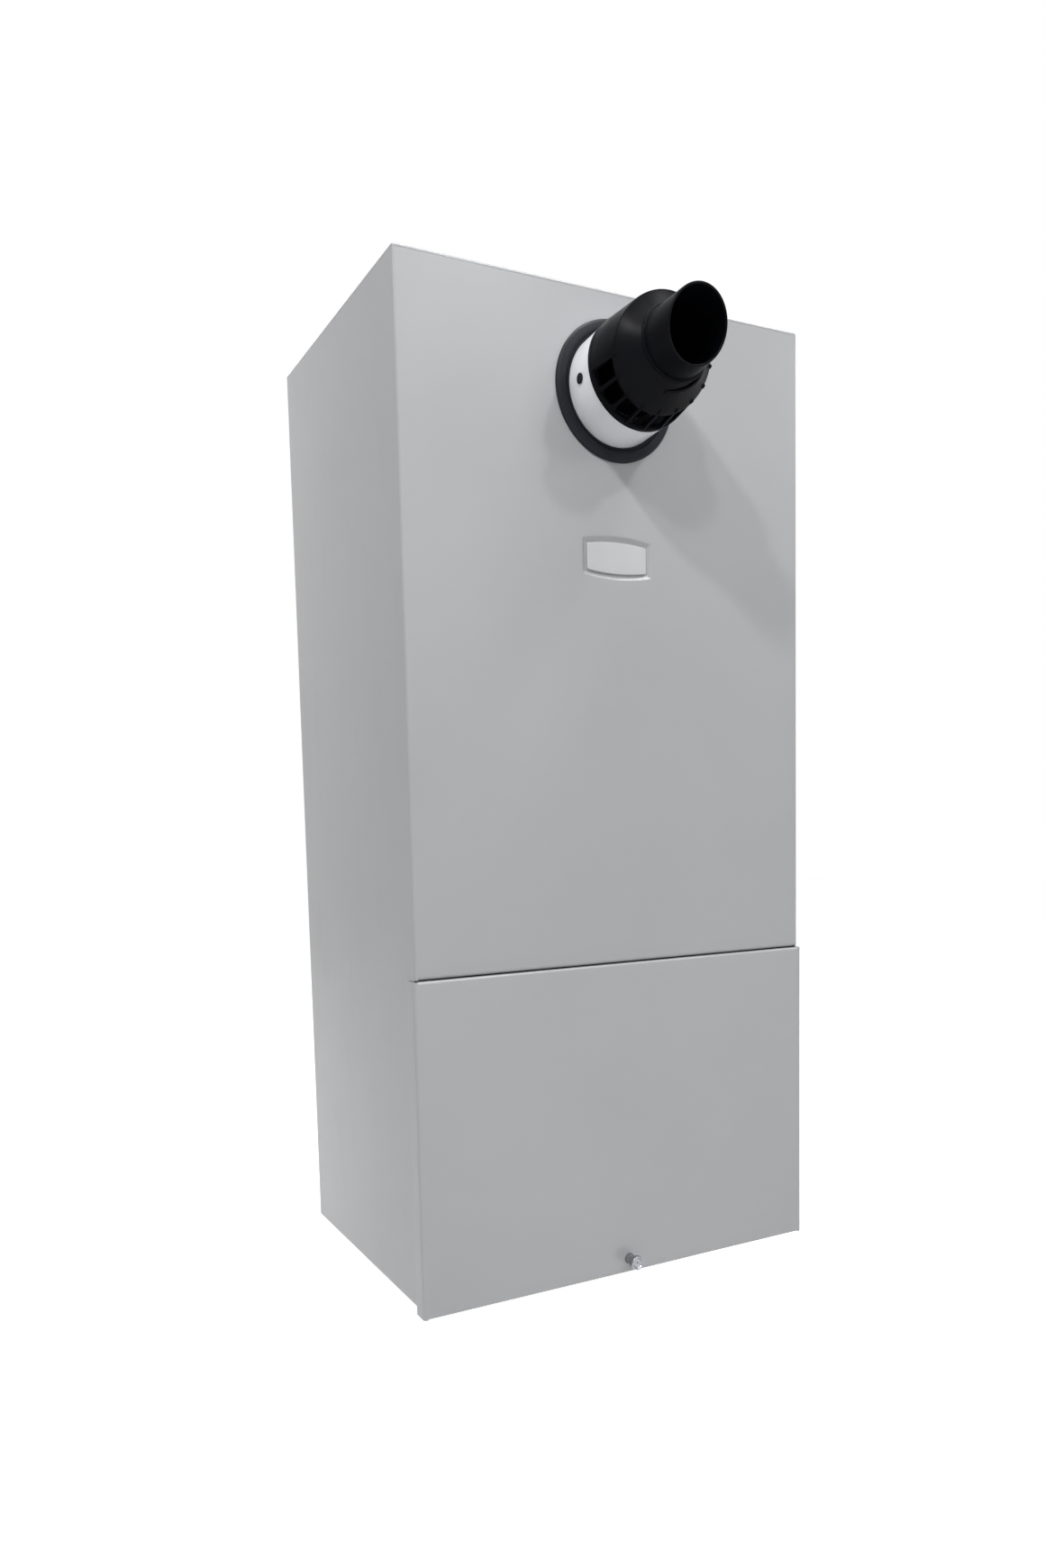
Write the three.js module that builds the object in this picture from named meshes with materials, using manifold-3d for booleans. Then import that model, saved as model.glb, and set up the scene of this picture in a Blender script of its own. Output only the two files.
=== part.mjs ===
// A wall-hung outdoor gas boiler: a folded steel casing with a lower service cover, a concentric
// flue through its front, and the condensing heat engine, pump, vessel and controls inside.
// Millimetres, +Z up, +X to the right of someone who faces the boiler, the wall at +Y.
// The part's origin is the middle of the wall bracket's rear face.
import * as THREE from "three";
import { mergeVertices } from "three/addons/utils/BufferGeometryUtils.js";
import Module from "manifold-3d";

const wasm = await Module();
wasm.setup();

// Clearances that the fits share, and the overrun of every cut
const fit = { gap: 0.3, slip: 0.5, running: 0.4, overrun: 1 };

// Facets of round forms, by size
const facets = { corner: 1, bend: 2, wide: 20, round: 12, pipe: 10, small: 8, bendRings: 3, hex: 6 };

// Casing: folded powder-coated sheet. Heights count from the bottom of the casing's sides.
const casing = {
  width: 430, depth: 305, height: 912, sheet: 1.2, bend: 3,
  rearFlange: 15, frontStrip: 15, lip: 12, lipRise: 10, notch: 8,
};
const halfWidth = casing.width / 2;

// How far the works lie below the casing's top, in from its sides and back from its front
const belowTop = { flue: 88, bracket: 92, fixing: 172, vessel: 287, drum: 302, fan: 512 };
const fromSide = {
  flow: 30, ret: 85, relief: 155, gas: 95, gland: 30, vessel: 11, box: 25, rail: 10, vent: 65, gauge: 105,
  fixing: 45, bracket: 45, slot: 65, bracketSlot: 85,
};
const fromFront = { fan: 90, box: 21, valve: 73, valvePort: 109, row: 185, vessel: 69 };
const lid = { rim: 3, hem: 8, flange: 15 };
const cover = {
  top: 298, gap: 4.7, proud: 2.5, drop: 5, sideFlange: 14, edgeFlange: 11,
};
const coverScrew = {
  height: 9, shank: 2.5, reach: 24, barrel: 4.8, barrelLength: 11, head: 5.8, headLength: 4.5,
  chamfer: 1, recess: 1.2, recessReach: 3.4, recessDepth: 2.2, flange: 6.2, flangeDepth: 1.6,
  nutWall: 3, nutDepth: 8,
};
const badge = {
  belowFlue: 148, width: 64, side: 23.6, middle: 28.4, thickness: 2, bevel: 0.6,
  recessWidth: 74, recessSide: 31, recessMiddle: 38, recessDepth: 2.6, slope: 3.2, steps: 8,
};

// Rear: the panel that carries the works, and the bracket that carries the boiler
const backPanel = {
  standoff: 16, slotWidth: 2 * (halfWidth - fromSide.slot), slotLow: 16, slotHigh: 52, fixingRadius: 4,
  fixingSide: halfWidth - fromSide.fixing, fixingLow: 130, fixingHigh: casing.height - belowTop.fixing,
};
const bracket = {
  height: casing.height - belowTop.bracket, width: 2 * (halfWidth - fromSide.bracket), sheet: 2, bend: 3,
  below: 30, above: 30, reach: 12, hook: 16, slotRadius: 4, slotLength: 18, slotDrop: 8,
  slotOuter: halfWidth - fromSide.bracketSlot, slotInner: 60,
};
const rail = { inset: 10, sheet: 1.5, bend: 2.5, hookBack: 7, hookDrop: 12, footDrop: 14 };

// Bottom panel, the pipe row and the rail that clamps the cocks
const bottom = { frontFlange: 24, sideFlange: 20, hole: 15 };
const pipeRow = {
  depth: casing.depth - fromFront.row, gas: fromSide.gas - halfWidth, condensate: -40,
  relief: halfWidth - fromSide.relief, ret: halfWidth - fromSide.ret, flow: halfWidth - fromSide.flow,
};
const pipeRail = {
  height: 60, sheet: 1.5, bend: 2.5, rise: 30, reach: 32, turndown: 10, side: halfWidth - fromSide.rail, neck: 12,
};
const gland = {
  side: fromSide.gland - halfWidth, depth: 60, body: 10, nut: 13, nutDepth: 6, dome: 9, above: 20, below: 3, tip: 6,
  bore: 4,
};

// Concentric flue, tilted up towards the terminal
const flue = {
  height: casing.height - belowTop.flue, tilt: 5 * Math.PI / 180, pipe: 30, pipeWall: 1.2, pipeGrip: 28,
  pipeOut: 50,
};
const duct = { radius: 50, wall: 1.2, inside: 45, outside: 36 };
const seal = {
  radius: 62.7, edge: 1.2, height: 4.2, crown: 58, groove: 53.6, grooveHeight: 2.6, lipHeight: 6,
  neck: 55.5, inner: 59, innerDepth: 3, lipWall: 1.6, grip: 2,
};
const plug = { radius: 4.6, head: 0.9, shank: 3.4, depth: 3, along: 21, angle: 185.5 * Math.PI / 180 };
const cage = {
  spigotIn: 10, spigotWall: 1.8, flange: 51, flangeDepth: 5, near: 49.6, far: 46.2, length: 36,
  wall: 2.4, face: 14.7, faceWall: 2.6, rim: 3.4, rimRise: 1.2,
  slant: 13 * Math.PI / 180, slantTo: 72 * Math.PI / 180,
  windows: 8, windowFirst: 195.5 * Math.PI / 180, windowPitch: 20.6 * Math.PI / 180,
  windowWidth: 13.6, windowCorner: 3.2, windowFrom: 1.5, windowBand: 4,
  rib: 2.6, ribRise: 1.5, tooth: 1.4, hood: 1.1,
};
const nozzle = {
  base: 31, tip: 28.6, wall: 2.2, step: 33.4, stepDepth: 3, length: 126.5, slant: 18.8 * Math.PI / 180,
  socketWall: 2.2, socketFrom: 24, socketTo: 52, shoulder: 6,
};
const elbow = { radius: 33.2, wall: 2.8, bend: 42, lead: 26.7, overlap: 24 };

// Heat exchanger: a steel drum on its side, closed by the burner door at the front
const drum = {
  height: casing.height - belowTop.drum, rear: 40, radius: 105, front: 25, wall: 3,
  flange: 8, flangeDepth: 4, outletWall: 2.6, outletRise: 33, drain: 9, drainWall: 2, drainDrop: 16,
};
const drumLength = casing.depth - fromFront.fan - drum.front - drum.rear;
const drumBracket = {
  half: 42, foot: 24, sheet: 1.5, bend: 2.5, reach: 80, window: 24,
};
const coil = {
  inset: 11, thickness: 28, from: 12, turns: 6, end: 18, valley: 5, stub: 9.3, stubReach: 9,
};
const coilOuter = drum.radius - coil.inset;
const coilInner = coilOuter - coil.thickness;
const stubEnd = drum.radius + coil.stubReach;
const stubs = { returnDrop: 30, flowRise: 30, flowBack: 25, returnBend: 14 };
const flowDepth = drum.rear + drumLength - stubs.flowBack;
const gasket = { thickness: 3, inset: 13 };
const door = { thickness: 8, ribs: 8, rib: 4, ribRise: 6, ribFrom: 34, boss: 26, bossRise: 8, rim: 6 };
const burner = { wall: 1.6, rear: 38, flange: 7, flangeDepth: 2 };
const electrode = { out: 34, radius: 4, flange: 8, flangeDepth: 4, tail: 9, reach: 40, tip: 1.2 };

// Premix fan under the drum, its motor in front and the gas mixer behind
const fan = {
  height: casing.height - belowTop.fan, rear: casing.depth - fromFront.fan, depth: 40, wall: 3, base: 54, growth: 16, outletWidth: 38, outletRise: 75,
  skin: 2.6, inlet: 26, shaftHole: 5.5, steps: 26,
};
const wheel = {
  radius: 48, eye: 24, blades: 9, blade: 1.5, plate: 2, shroud: 1.5, shroudEye: 30, from: 9,
  height: 20, hub: 9, hubLength: 12, shaft: 3.6, shaftReach: 12, sweep: 0.9, bladeSteps: 3,
};
const motor = { radius: 34, length: 36, ribs: 12, rib: 3, ribRise: 2.4, cap: 24, capDepth: 4, bore: 4.1, boreDepth: 14 };
const mixer = {
  radius: 30, throat: 19, length: 48, lip: 35, lipDepth: 5, arm: 8, armDepth: 25, flange: 13,
  flangeDepth: 4,
};
const mixDuct = {
  radius: 16, wall: 1.6, bend: 18, flangeSide: 44, flangeFront: 36, flangeThick: 4, flangeCorner: 6,
  doorFlange: 22,
};

// Gas line
const gasValve = {
  width: 60, below: 60, above: 30, depth: 70, inlet: 12, coil: 15, coilReach: 22, coilDrop: 38, coilRise: 4,
  cap: 9, capReach: 8, corner: 5, bossDrop: 13,
};
const pipe = { radius: 9, bend: 20 };
const gasRun = { drop: 77, depth: casing.depth - fromFront.valvePort };

// Water side
const vessel = {
  height: casing.height - belowTop.vessel, radius: (casing.depth - fromFront.vessel) / 2, rear: 22, thickness: 72, dome: 14, seam: 3, seamWidth: 8,
  lugWidth: 30, lugHeight: 50, port: 8, portDrop: 15, valve: 4, valveReach: 10,
  domeShares: [[0.55, 0.12], [0.86, 0.5], [1, 1]],
};
const vesselSide = halfWidth - fromSide.vessel - vessel.thickness / 2;
const vesselDepth = vessel.rear + vessel.radius;
const hose = { radius: 6, bend: 16, depth: 28, drop: 22, level: 142 };
const flowRun = { turn: 150 };
const vent = { side: halfWidth - fromSide.vent, neck: 8, neckRise: 14, body: 18, bodyRise: 48, shoulder: 5, cap: 7, capRise: 8 };
const manifold = { width: 36, depth: 34, height: 44, corner: 5, boss: 12, bossReach: 5 };
const pump = {
  radius: 42, half: 22, port: 14, portRise: 70, nut: 19, nutDepth: 12,
  can: 38, canLength: 78, fins: 12, fin: 2.4, finRise: 4, finLength: 60, plug: 9, plugRise: 4,
  boxWidth: 34, boxHeight: 44, boxDepth: 30, boxFrom: 20,
};
const relief = {
  height: 142, body: 14, rear: 16, front: 30, neck: 10,
  spindle: 4, spindleReach: 9, knob: 15, knobDepth: 18, flutes: 8, flute: 2.6, pipe: 7.5, pipeEnd: 24,
};
const trap = {
  body: 28, low: 205, high: 320, neck: 10, neckRise: 10, cap: 31, capDepth: 14, outlet: 9, outletEnd: 24,
  shoulder: 8,
};
const trapHose = { radius: 10, bend: 19, turn: 410 };
const cock = {
  tail: 11, tailEnd: 38, bore: 8, boreDepth: 16, nut: 16.5, nutDepth: 12, collar: 8, ball: 17, waist: 13, ballRise: 30,
  neckRise: 8, union: 12, boss: 8.5, bossReach: 21, stemHole: 3.5, stemDepth: 9,
};
const handle = { half: 19, width: 9, corner: 3, thickness: 8, hub: 7.5, stem: 3, stemReach: 8 };

// Control box across the service opening
const box = {
  half: halfWidth - fromSide.box, low: 140, height: 145, front: casing.depth - fromFront.box, depth: 44, wall: 2.5, pin: 5, pinHeight: 12, pinInset: 14,
  post: 3.5, postReach: 12, ear: 12,
};
const fascia = { thickness: 3, corner: 8, row: 215 };
const board = { inset: 25, width: 235, rise: 18, height: 110, thickness: 1.6 };
const boardParts = [
  { along: 25, up: 22, wide: 30, tall: 28, deep: 14 },
  { along: 70, up: 14, wide: 44, tall: 16, deep: 10 },
  { along: 135, up: 18, wide: 24, tall: 24, deep: 12 },
  { along: 185, up: 14, wide: 60, tall: 10, deep: 9 },
  { along: 201, up: 82, wide: 26, tall: 30, deep: 13 },
];
const knob = {
  radius: 17, depth: 12, skirt: 20, skirtDepth: 3, shaft: 3, shaftReach: 9, heating: -40,
  water: -105, pointer: 2, pointerWidth: 3, grips: 10, grip: 2.2,
};
const reset = { side: 30, radius: 7, rise: 5, stemReach: 6, flange: 9, flangeDepth: 1.6 };
const gauge = {
  side: halfWidth - fromSide.gauge, body: 21, bezel: 25, bezelDepth: 3, bodyReach: 20, cup: 19, cupDepth: 6,
  pin: 1.4, pinRise: 2.6, needleWidth: 1.8, needleTip: 15, needleTail: 5, needleDepth: 1, needleHub: 3.4,
};

// Finishes: colour, roughness, metalness
const finishes = {
  casing_paint: [0xb4b5b7, 0.42, 0.15],
  galvanised_steel: [0xa9adb0, 0.45, 0.85],
  zinc_plate: [0xc9ccd0, 0.3, 0.9],
  badge_plastic: [0xcbccce, 0.4, 0],
  seal_rubber: [0x26282f, 0.75, 0],
  duct_enamel: [0xf1f2f4, 0.35, 0],
  terminal_plastic: [0x15171c, 0.5, 0],
  stainless_steel: [0xb9bbbd, 0.32, 0.95],
  cast_aluminium: [0x9a9da1, 0.55, 0.85],
  fibre_gasket: [0xd8d3c6, 0.9, 0],
  ceramic: [0xf0ece2, 0.35, 0],
  black_plastic: [0x202226, 0.5, 0],
  grey_plastic: [0x6e7277, 0.5, 0],
  motor_paint: [0x2c3036, 0.45, 0.2],
  brass: [0xb99a52, 0.35, 0.95],
  copper: [0xb8724a, 0.35, 0.95],
  vessel_paint: [0x8f2f28, 0.45, 0.1],
  braided_hose: [0x9aa0a6, 0.5, 0.6],
  trap_plastic: [0xe6e6e2, 0.5, 0],
  red_plastic: [0xa32622, 0.45, 0],
  blue_plastic: [0x2b4f8f, 0.45, 0],
  yellow_plastic: [0xc9a227, 0.45, 0],
  circuit_green: [0x1f5a3c, 0.5, 0],
  gauge_face: [0xf2f2ee, 0.4, 0],
};
const materials = Object.fromEntries(
  Object.entries(finishes).map(([name, [color, roughness, metalness]]) => [
    name,
    new THREE.MeshStandardMaterial({ name, color, roughness, metalness }),
  ]),
);

const seamHeight = cover.top + cover.gap;
const panelFront = backPanel.standoff + casing.sheet;
const badgeHeight = flue.height - badge.belowFlue;

// Closed geometry to solid and back, for joins and cuts
function solidOf(geometry) {
  const bare = geometry.index ? geometry.toNonIndexed() : geometry.clone();
  bare.deleteAttribute("normal");
  bare.deleteAttribute("uv");
  const merged = mergeVertices(bare);
  const vertProperties = merged.attributes.position.array;
  const triVerts = new Uint32Array(merged.index.array);
  return new wasm.Manifold(new wasm.Mesh({ numProp: 3, vertProperties, triVerts }));
}

function geometryOf(solid) {
  const { vertProperties, triVerts } = solid.getMesh();
  const geometry = new THREE.BufferGeometry();
  geometry.setAttribute("position", new THREE.BufferAttribute(vertProperties, 3));
  geometry.setIndex(new THREE.BufferAttribute(triVerts, 1));
  const flat = geometry.toNonIndexed();
  flat.computeVertexNormals();
  return flat;
}

function join(...geometries) {
  return geometryOf(geometries.map(solidOf).reduce((sum, next) => sum.add(next)));
}

function cut(geometry, ...tools) {
  return geometryOf(tools.map(solidOf).reduce((rest, tool) => rest.subtract(tool), solidOf(geometry)));
}

// Basic forms. Each stands on z = 0 and runs along +Z until it is turned.
function block([x0, x1], [y0, y1], [z0, z1]) {
  return new THREE.BoxGeometry(x1 - x0, y1 - y0, z1 - z0)
    .translate((x0 + x1) / 2, (y0 + y1) / 2, (z0 + z1) / 2);
}

function rod(radius, length, sides = facets.small) {
  return new THREE.CylinderGeometry(radius, radius, length, sides)
    .rotateX(Math.PI / 2)
    .translate(0, 0, length / 2);
}

function turned(profile, sides = facets.round) {
  const points = profile.map(([r, z]) => new THREE.Vector2(r, z));
  return new THREE.LatheGeometry(points, sides).rotateX(Math.PI / 2);
}

function prism(shape, depth, curveSegments = facets.corner) {
  return new THREE.ExtrudeGeometry(shape, { depth, bevelEnabled: false, curveSegments });
}

// Turns a form so that its +Z points to the front, the right, the left, the rear or down
const toFront = (geometry) => geometry.rotateX(Math.PI / 2);
const toRear = (geometry) => geometry.rotateX(-Math.PI / 2);
const toRight = (geometry) => geometry.rotateY(Math.PI / 2);
const toLeft = (geometry) => geometry.rotateY(-Math.PI / 2);
const toBelow = (geometry) => geometry.rotateX(Math.PI);

// A profile drawn in depth and height, extruded along X about the middle
function across(shape, width) {
  const basis = new THREE.Matrix4().makeBasis(
    new THREE.Vector3(0, 1, 0), new THREE.Vector3(0, 0, 1), new THREE.Vector3(1, 0, 0),
  );
  return prism(shape, width).translate(0, 0, -width / 2).applyMatrix4(basis);
}

// The outline of a folded sheet. The corners lie on one face and the sheet is on their left,
// and each bend keeps the same outer radius whichever way it turns.
function foldedOutline(corners, sheet, bend) {
  const face = [];
  const back = [];
  const at = corners.map(([x, y]) => new THREE.Vector2(x, y));
  at.forEach((here, i) => {
    const into = i > 0 ? here.clone().sub(at[i - 1]).normalize() : null;
    const out = i < at.length - 1 ? at[i + 1].clone().sub(here).normalize() : null;
    const along = into ?? out;
    const left = new THREE.Vector2(-along.y, along.x);
    if (!into || !out) {
      face.push(here);
      back.push(here.clone().addScaledVector(left, sheet));
      return;
    }
    const turn = Math.atan2(into.cross(out), into.dot(out));
    const side = Math.sign(turn);
    const faceRadius = side > 0 ? bend : bend - sheet;
    const backRadius = side > 0 ? bend - sheet : bend;
    const setback = faceRadius * Math.tan(Math.abs(turn) / 2);
    const centre = here.clone().addScaledVector(into, -setback).addScaledVector(left, side * faceRadius);
    for (let k = 0; k <= facets.bend; k += 1) {
      const spoke = left.clone().multiplyScalar(-side)
        .rotateAround(new THREE.Vector2(), (turn * k) / facets.bend);
      face.push(centre.clone().addScaledVector(spoke, faceRadius));
      back.push(centre.clone().addScaledVector(spoke, backRadius));
    }
  });
  return new THREE.Shape([...face, ...back.reverse()]);
}

// A run of pipe through corners with one bend radius, with a ring only where the run needs one
class PipeRun extends THREE.Curve {
  constructor(corners, bend) {
    super();
    const at = corners.map((corner) => new THREE.Vector3(...corner));
    const heading = at.slice(1).map((next, i) => next.clone().sub(at[i]).normalize());
    this.rings = [{ point: at[0], tangent: heading[0] }];
    heading.slice(1).forEach((out, i) => {
      const into = heading[i];
      const turn = into.angleTo(out);
      const axis = into.clone().cross(out).normalize();
      const inward = axis.clone().cross(into);
      const setback = bend * Math.tan(turn / 2);
      const centre = at[i + 1].clone().addScaledVector(into, -setback).addScaledVector(inward, bend);
      for (let k = 0; k <= facets.bendRings; k += 1) {
        const angle = (turn * k) / facets.bendRings;
        this.rings.push({
          point: centre.clone().addScaledVector(inward.clone().applyAxisAngle(axis, angle), -bend),
          tangent: into.clone().applyAxisAngle(axis, angle),
        });
      }
    });
    this.rings.push({ point: at.at(-1), tangent: heading.at(-1) });
  }

  ringAt(t) {
    return this.rings[Math.round(t * (this.rings.length - 1))];
  }

  getPoint(t) {
    return this.ringAt(t).point.clone();
  }

  getPointAt(u) {
    return this.getPoint(u);
  }

  getTangentAt(u) {
    return this.ringAt(u).tangent.clone();
  }
}

function pipeAlong(corners, bend, radius, wall = 0, sides = facets.pipe) {
  const run = new PipeRun(corners, bend);
  const section = new THREE.Shape().absarc(0, 0, radius, 0, 2 * Math.PI);
  if (wall > 0) section.holes.push(new THREE.Path().absarc(0, 0, radius - wall, 0, 2 * Math.PI));
  return new THREE.ExtrudeGeometry(section, {
    steps: run.rings.length - 1,
    extrudePath: run,
    curveSegments: sides / 2,
  });
}

// A closed skin between outlines of equal point count, each at its own height
function loft(rings) {
  const count = rings[0].points.length;
  const positions = [];
  rings.forEach(({ points, z }) => points.forEach((p) => positions.push(p.x, p.y, z)));
  const index = [];
  for (let r = 0; r < rings.length - 1; r += 1) {
    for (let i = 0; i < count; i += 1) {
      const a = r * count + i;
      const b = r * count + ((i + 1) % count);
      index.push(a, b, b + count, a, b + count, a + count);
    }
  }
  const caps = THREE.ShapeUtils.triangulateShape(rings[0].points, []);
  const top = (rings.length - 1) * count;
  caps.forEach(([a, b, c]) => index.push(c, b, a, top + a, top + b, top + c));
  const geometry = new THREE.BufferGeometry();
  geometry.setAttribute("position", new THREE.Float32BufferAttribute(positions, 3));
  geometry.setIndex(index);
  return geometry;
}

function repeat(count, make) {
  return Array.from({ length: count }, (_, i) => make(i, (2 * Math.PI * i) / count));
}

function piece(name, geometry, finish, [x, y, z] = [0, 0, 0]) {
  const mesh = new THREE.Mesh(geometry, materials[finish]);
  mesh.name = name;
  mesh.position.set(x, y, z);
  return mesh;
}

function group(pieces, [x, y, z] = [0, 0, 0]) {
  const made = new THREE.Group();
  made.position.set(x, y, z);
  made.add(...pieces);
  return made;
}

// The pillow outline of the badge and its recess: straight sides, bowed top and bottom
function pillow(width, side, middle) {
  const points = [];
  const bow = (middle - side) / 2;
  [1, -1].forEach((way) => {
    for (let k = 0; k <= badge.steps; k += 1) {
      const share = (2 * k) / badge.steps - 1;
      points.push(new THREE.Vector2((-way * share * width) / 2, way * (side / 2 + bow * (1 - share * share))));
    }
  });
  return points;
}

// A rectangle with round corners
function roundedBox([x0, x1], [y0, y1], radius) {
  const shape = new THREE.Shape();
  shape.absarc(x0 + radius, y0 + radius, radius, Math.PI, 1.5 * Math.PI);
  shape.absarc(x1 - radius, y0 + radius, radius, 1.5 * Math.PI, 2 * Math.PI);
  shape.absarc(x1 - radius, y1 - radius, radius, 0, Math.PI / 2);
  shape.absarc(x0 + radius, y1 - radius, radius, Math.PI / 2, Math.PI);
  return shape;
}

// The casing's plan, drawn in from its outer faces
function plan(inset) {
  const half = halfWidth - inset;
  const radius = Math.max(casing.bend - inset, fit.slip);
  return roundedBox([-half, half], [-casing.depth + inset, -inset], radius);
}

// Sides and upper front in one sheet, with the service opening, its lip and the pressed badge seat
function casingWrap() {
  const { sheet, bend, rearFlange, frontStrip, lip, lipRise, notch, depth } = casing;
  const height = casing.height - lid.rim - fit.gap;
  const walls = prism(foldedOutline([
    [-halfWidth + rearFlange, 0], [-halfWidth, 0], [-halfWidth, -depth],
    [halfWidth, -depth], [halfWidth, 0], [halfWidth - rearFlange, 0],
  ], sheet, bend), height);
  const overFront = [-depth - fit.overrun, -depth + bend];
  const opening = block(
    [-halfWidth + frontStrip, halfWidth - frontStrip], overFront, [-fit.overrun, seamHeight + lipRise],
  );
  const reliefs = [-1, 1].map((way) => block(
    [way * halfWidth - frontStrip - fit.overrun, way * halfWidth + frontStrip + fit.overrun],
    overFront, [cover.top - notch, seamHeight],
  ));
  const lower = across(foldedOutline([
    [-depth, seamHeight + lipRise], [-depth, seamHeight], [-depth + lip, seamHeight],
  ], sheet, bend), casing.width - 2 * bend);
  const hole = toFront(rod(seal.neck, bend + fit.overrun, facets.wide))
    .translate(0, -depth + bend, flue.height);
  const seat = (grow, front, deep) => toRear(loft([
    ...front.map((z) => ({ points: recessOutline(grow), z })),
    { points: recessOutline(grow - 2 * badge.slope), z: deep },
  ])).translate(0, -depth, badgeHeight);
  const pan = seat(2 * sheet, [0], badge.recessDepth + sheet);
  const hollow = seat(0, [-fit.overrun, 0], badge.recessDepth);
  return cut(join(cut(walls, opening, ...reliefs), lower, pan), hole, hollow);
}

function recessOutline(grow) {
  return pillow(badge.recessWidth + grow, badge.recessSide + grow, badge.recessMiddle + grow);
}

// Lid with a doubled rim on the walls and a flange down inside them
function topPanel() {
  const { sheet, height } = casing;
  const { rim, hem, flange } = lid;
  const ring = (outer, inner, low) => {
    const shape = plan(outer);
    shape.holes.push(new THREE.Path(plan(inner).getPoints(facets.corner)));
    return prism(shape, height - low).translate(0, 0, low);
  };
  const plate = prism(plan(0), sheet).translate(0, 0, height - sheet);
  const inside = sheet + fit.slip;
  return join(plate, ring(0, hem, height - rim), ring(inside, inside + sheet, height - flange));
}

// Floor of the casing with its pipe holes and the flange that the service cover is screwed to
function bottomPanel() {
  const { sheet, bend, depth } = casing;
  const half = halfWidth - sheet - fit.slip;
  const rear = -panelFront - fit.slip;
  const front = -depth + sheet + fit.gap;
  const tray = toFront(prism(foldedOutline([
    [-half, bottom.sideFlange], [-half, 0], [half, 0], [half, bottom.sideFlange],
  ], sheet, bend), rear - front)).translate(0, rear, 0);
  const flange = across(foldedOutline([
    [front, bottom.frontFlange], [front, 0], [front + casing.lip, 0],
  ], sheet, bend), 2 * (half - bend));
  const edge = block(
    [-half - fit.overrun, half + fit.overrun], [front - fit.overrun, front + bend],
    [-bend, bottom.sideFlange + fit.overrun],
  );
  const through = (x, y, radius) => rod(radius, bend + fit.overrun, facets.pipe).translate(x, y, -fit.overrun);
  const holes = [pipeRow.gas, pipeRow.condensate, pipeRow.relief, pipeRow.ret, pipeRow.flow]
    .map((x) => through(x, -pipeRow.depth, bottom.hole));
  const nutSeat = toRear(rod(clinch().neck, bend + fit.overrun)).translate(0, front - fit.overrun, coverScrew.height);
  return cut(
    join(cut(tray, edge), flange), ...holes, nutSeat,
    through(gland.side, -gland.depth, gland.body + fit.gap),
  );
}

// Rear panel: a shallow tray whose side flanges reach back to the wall
function rearPanel() {
  const { sheet, bend } = casing;
  const half = halfWidth - sheet - fit.slip;
  const low = casing.sheet + fit.slip;
  const high = casing.height - lid.flange - fit.slip;
  const tray = prism(foldedOutline([
    [-half, -bend], [-half, -panelFront], [half, -panelFront], [half, -bend],
  ], sheet, bend), high - low).translate(0, 0, low);
  const overWeb = [-panelFront - fit.overrun, -backPanel.standoff + fit.overrun];
  const slot = block(
    [-backPanel.slotWidth / 2, backPanel.slotWidth / 2], overWeb, [backPanel.slotLow, backPanel.slotHigh],
  );
  const fixings = [backPanel.fixingLow, backPanel.fixingHigh].flatMap((z) => [-1, 1].map((way) => toRear(
    rod(backPanel.fixingRadius, overWeb[1] - overWeb[0]),
  ).translate(way * backPanel.fixingSide, overWeb[0], z)));
  return cut(tray, slot, ...fixings);
}

// Wall bracket: a web against the wall, a shelf and an upturned hook, with slots for the wall screws
function wallBracket() {
  const { below, above, reach, hook, sheet, bend, width } = bracket;
  const profile = across(foldedOutline([
    [0, -below], [0, above], [-reach, above], [-reach, above + hook],
  ], sheet, bend), width);
  const slot = new THREE.Shape();
  const straight = bracket.slotLength / 2 - bracket.slotRadius;
  slot.absarc(straight, 0, bracket.slotRadius, -Math.PI / 2, Math.PI / 2);
  slot.absarc(-straight, 0, bracket.slotRadius, Math.PI / 2, 1.5 * Math.PI);
  const slots = [bracket.slotOuter, bracket.slotInner].flatMap((side) => [-1, 1].map((way) => toFront(
    prism(slot, sheet + 2 * fit.overrun),
  ).translate(way * side, fit.overrun, -bracket.slotDrop)));
  return cut(profile, ...slots);
}

// The strip on the rear panel whose hook drops behind the bracket's
function hangingRail() {
  const top = bracket.above + bracket.hook + fit.gap + rail.sheet;
  return across(foldedOutline([
    [-rail.hookBack, top - rail.hookDrop], [-rail.hookBack, top],
    [-backPanel.standoff, top], [-backPanel.standoff, top - rail.footDrop],
  ], rail.sheet, rail.bend), bracket.width - 2 * rail.inset);
}

// Service cover: a shallow tray proud of the casing, with short flanges on all four sides
function frontCover() {
  const { sheet, bend, depth } = casing;
  const half = halfWidth + cover.proud;
  const front = -depth - cover.proud;
  const rear = -depth + cover.sideFlange;
  const low = -cover.drop;
  const tray = prism(foldedOutline([
    [-half, rear], [-half, front], [half, front], [half, rear],
  ], sheet, bend), cover.top - low).translate(0, 0, low);
  const inner = halfWidth - sheet - fit.slip;
  const overFace = [front - fit.overrun, front + bend];
  const trims = [[low - fit.overrun, low + bend], [cover.top - bend, cover.top + fit.overrun]]
    .map((band) => block([-inner, inner], overFace, band));
  const edges = across(foldedOutline([
    [front + cover.edgeFlange, cover.top], [front, cover.top], [front, low], [front + cover.edgeFlange, low],
  ], sheet, bend), 2 * inner);
  const hole = toRear(rod(coverScrew.barrel + fit.gap, bend + fit.overrun, facets.round))
    .translate(0, front - fit.overrun, coverScrew.height);
  return cut(join(cut(tray, ...trims), edges), hole);
}

// Sizes that the cover's screw, its ferrule and its nut share, along the screw's own axis
function clinch() {
  const coverBack = cover.proud - casing.sheet;
  return {
    neck: coverScrew.shank + coverScrew.nutWall - fit.overrun,
    ferruleBack: coverBack - fit.gap,
    nutFace: -casing.sheet - fit.gap - casing.sheet,
  };
}

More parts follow.
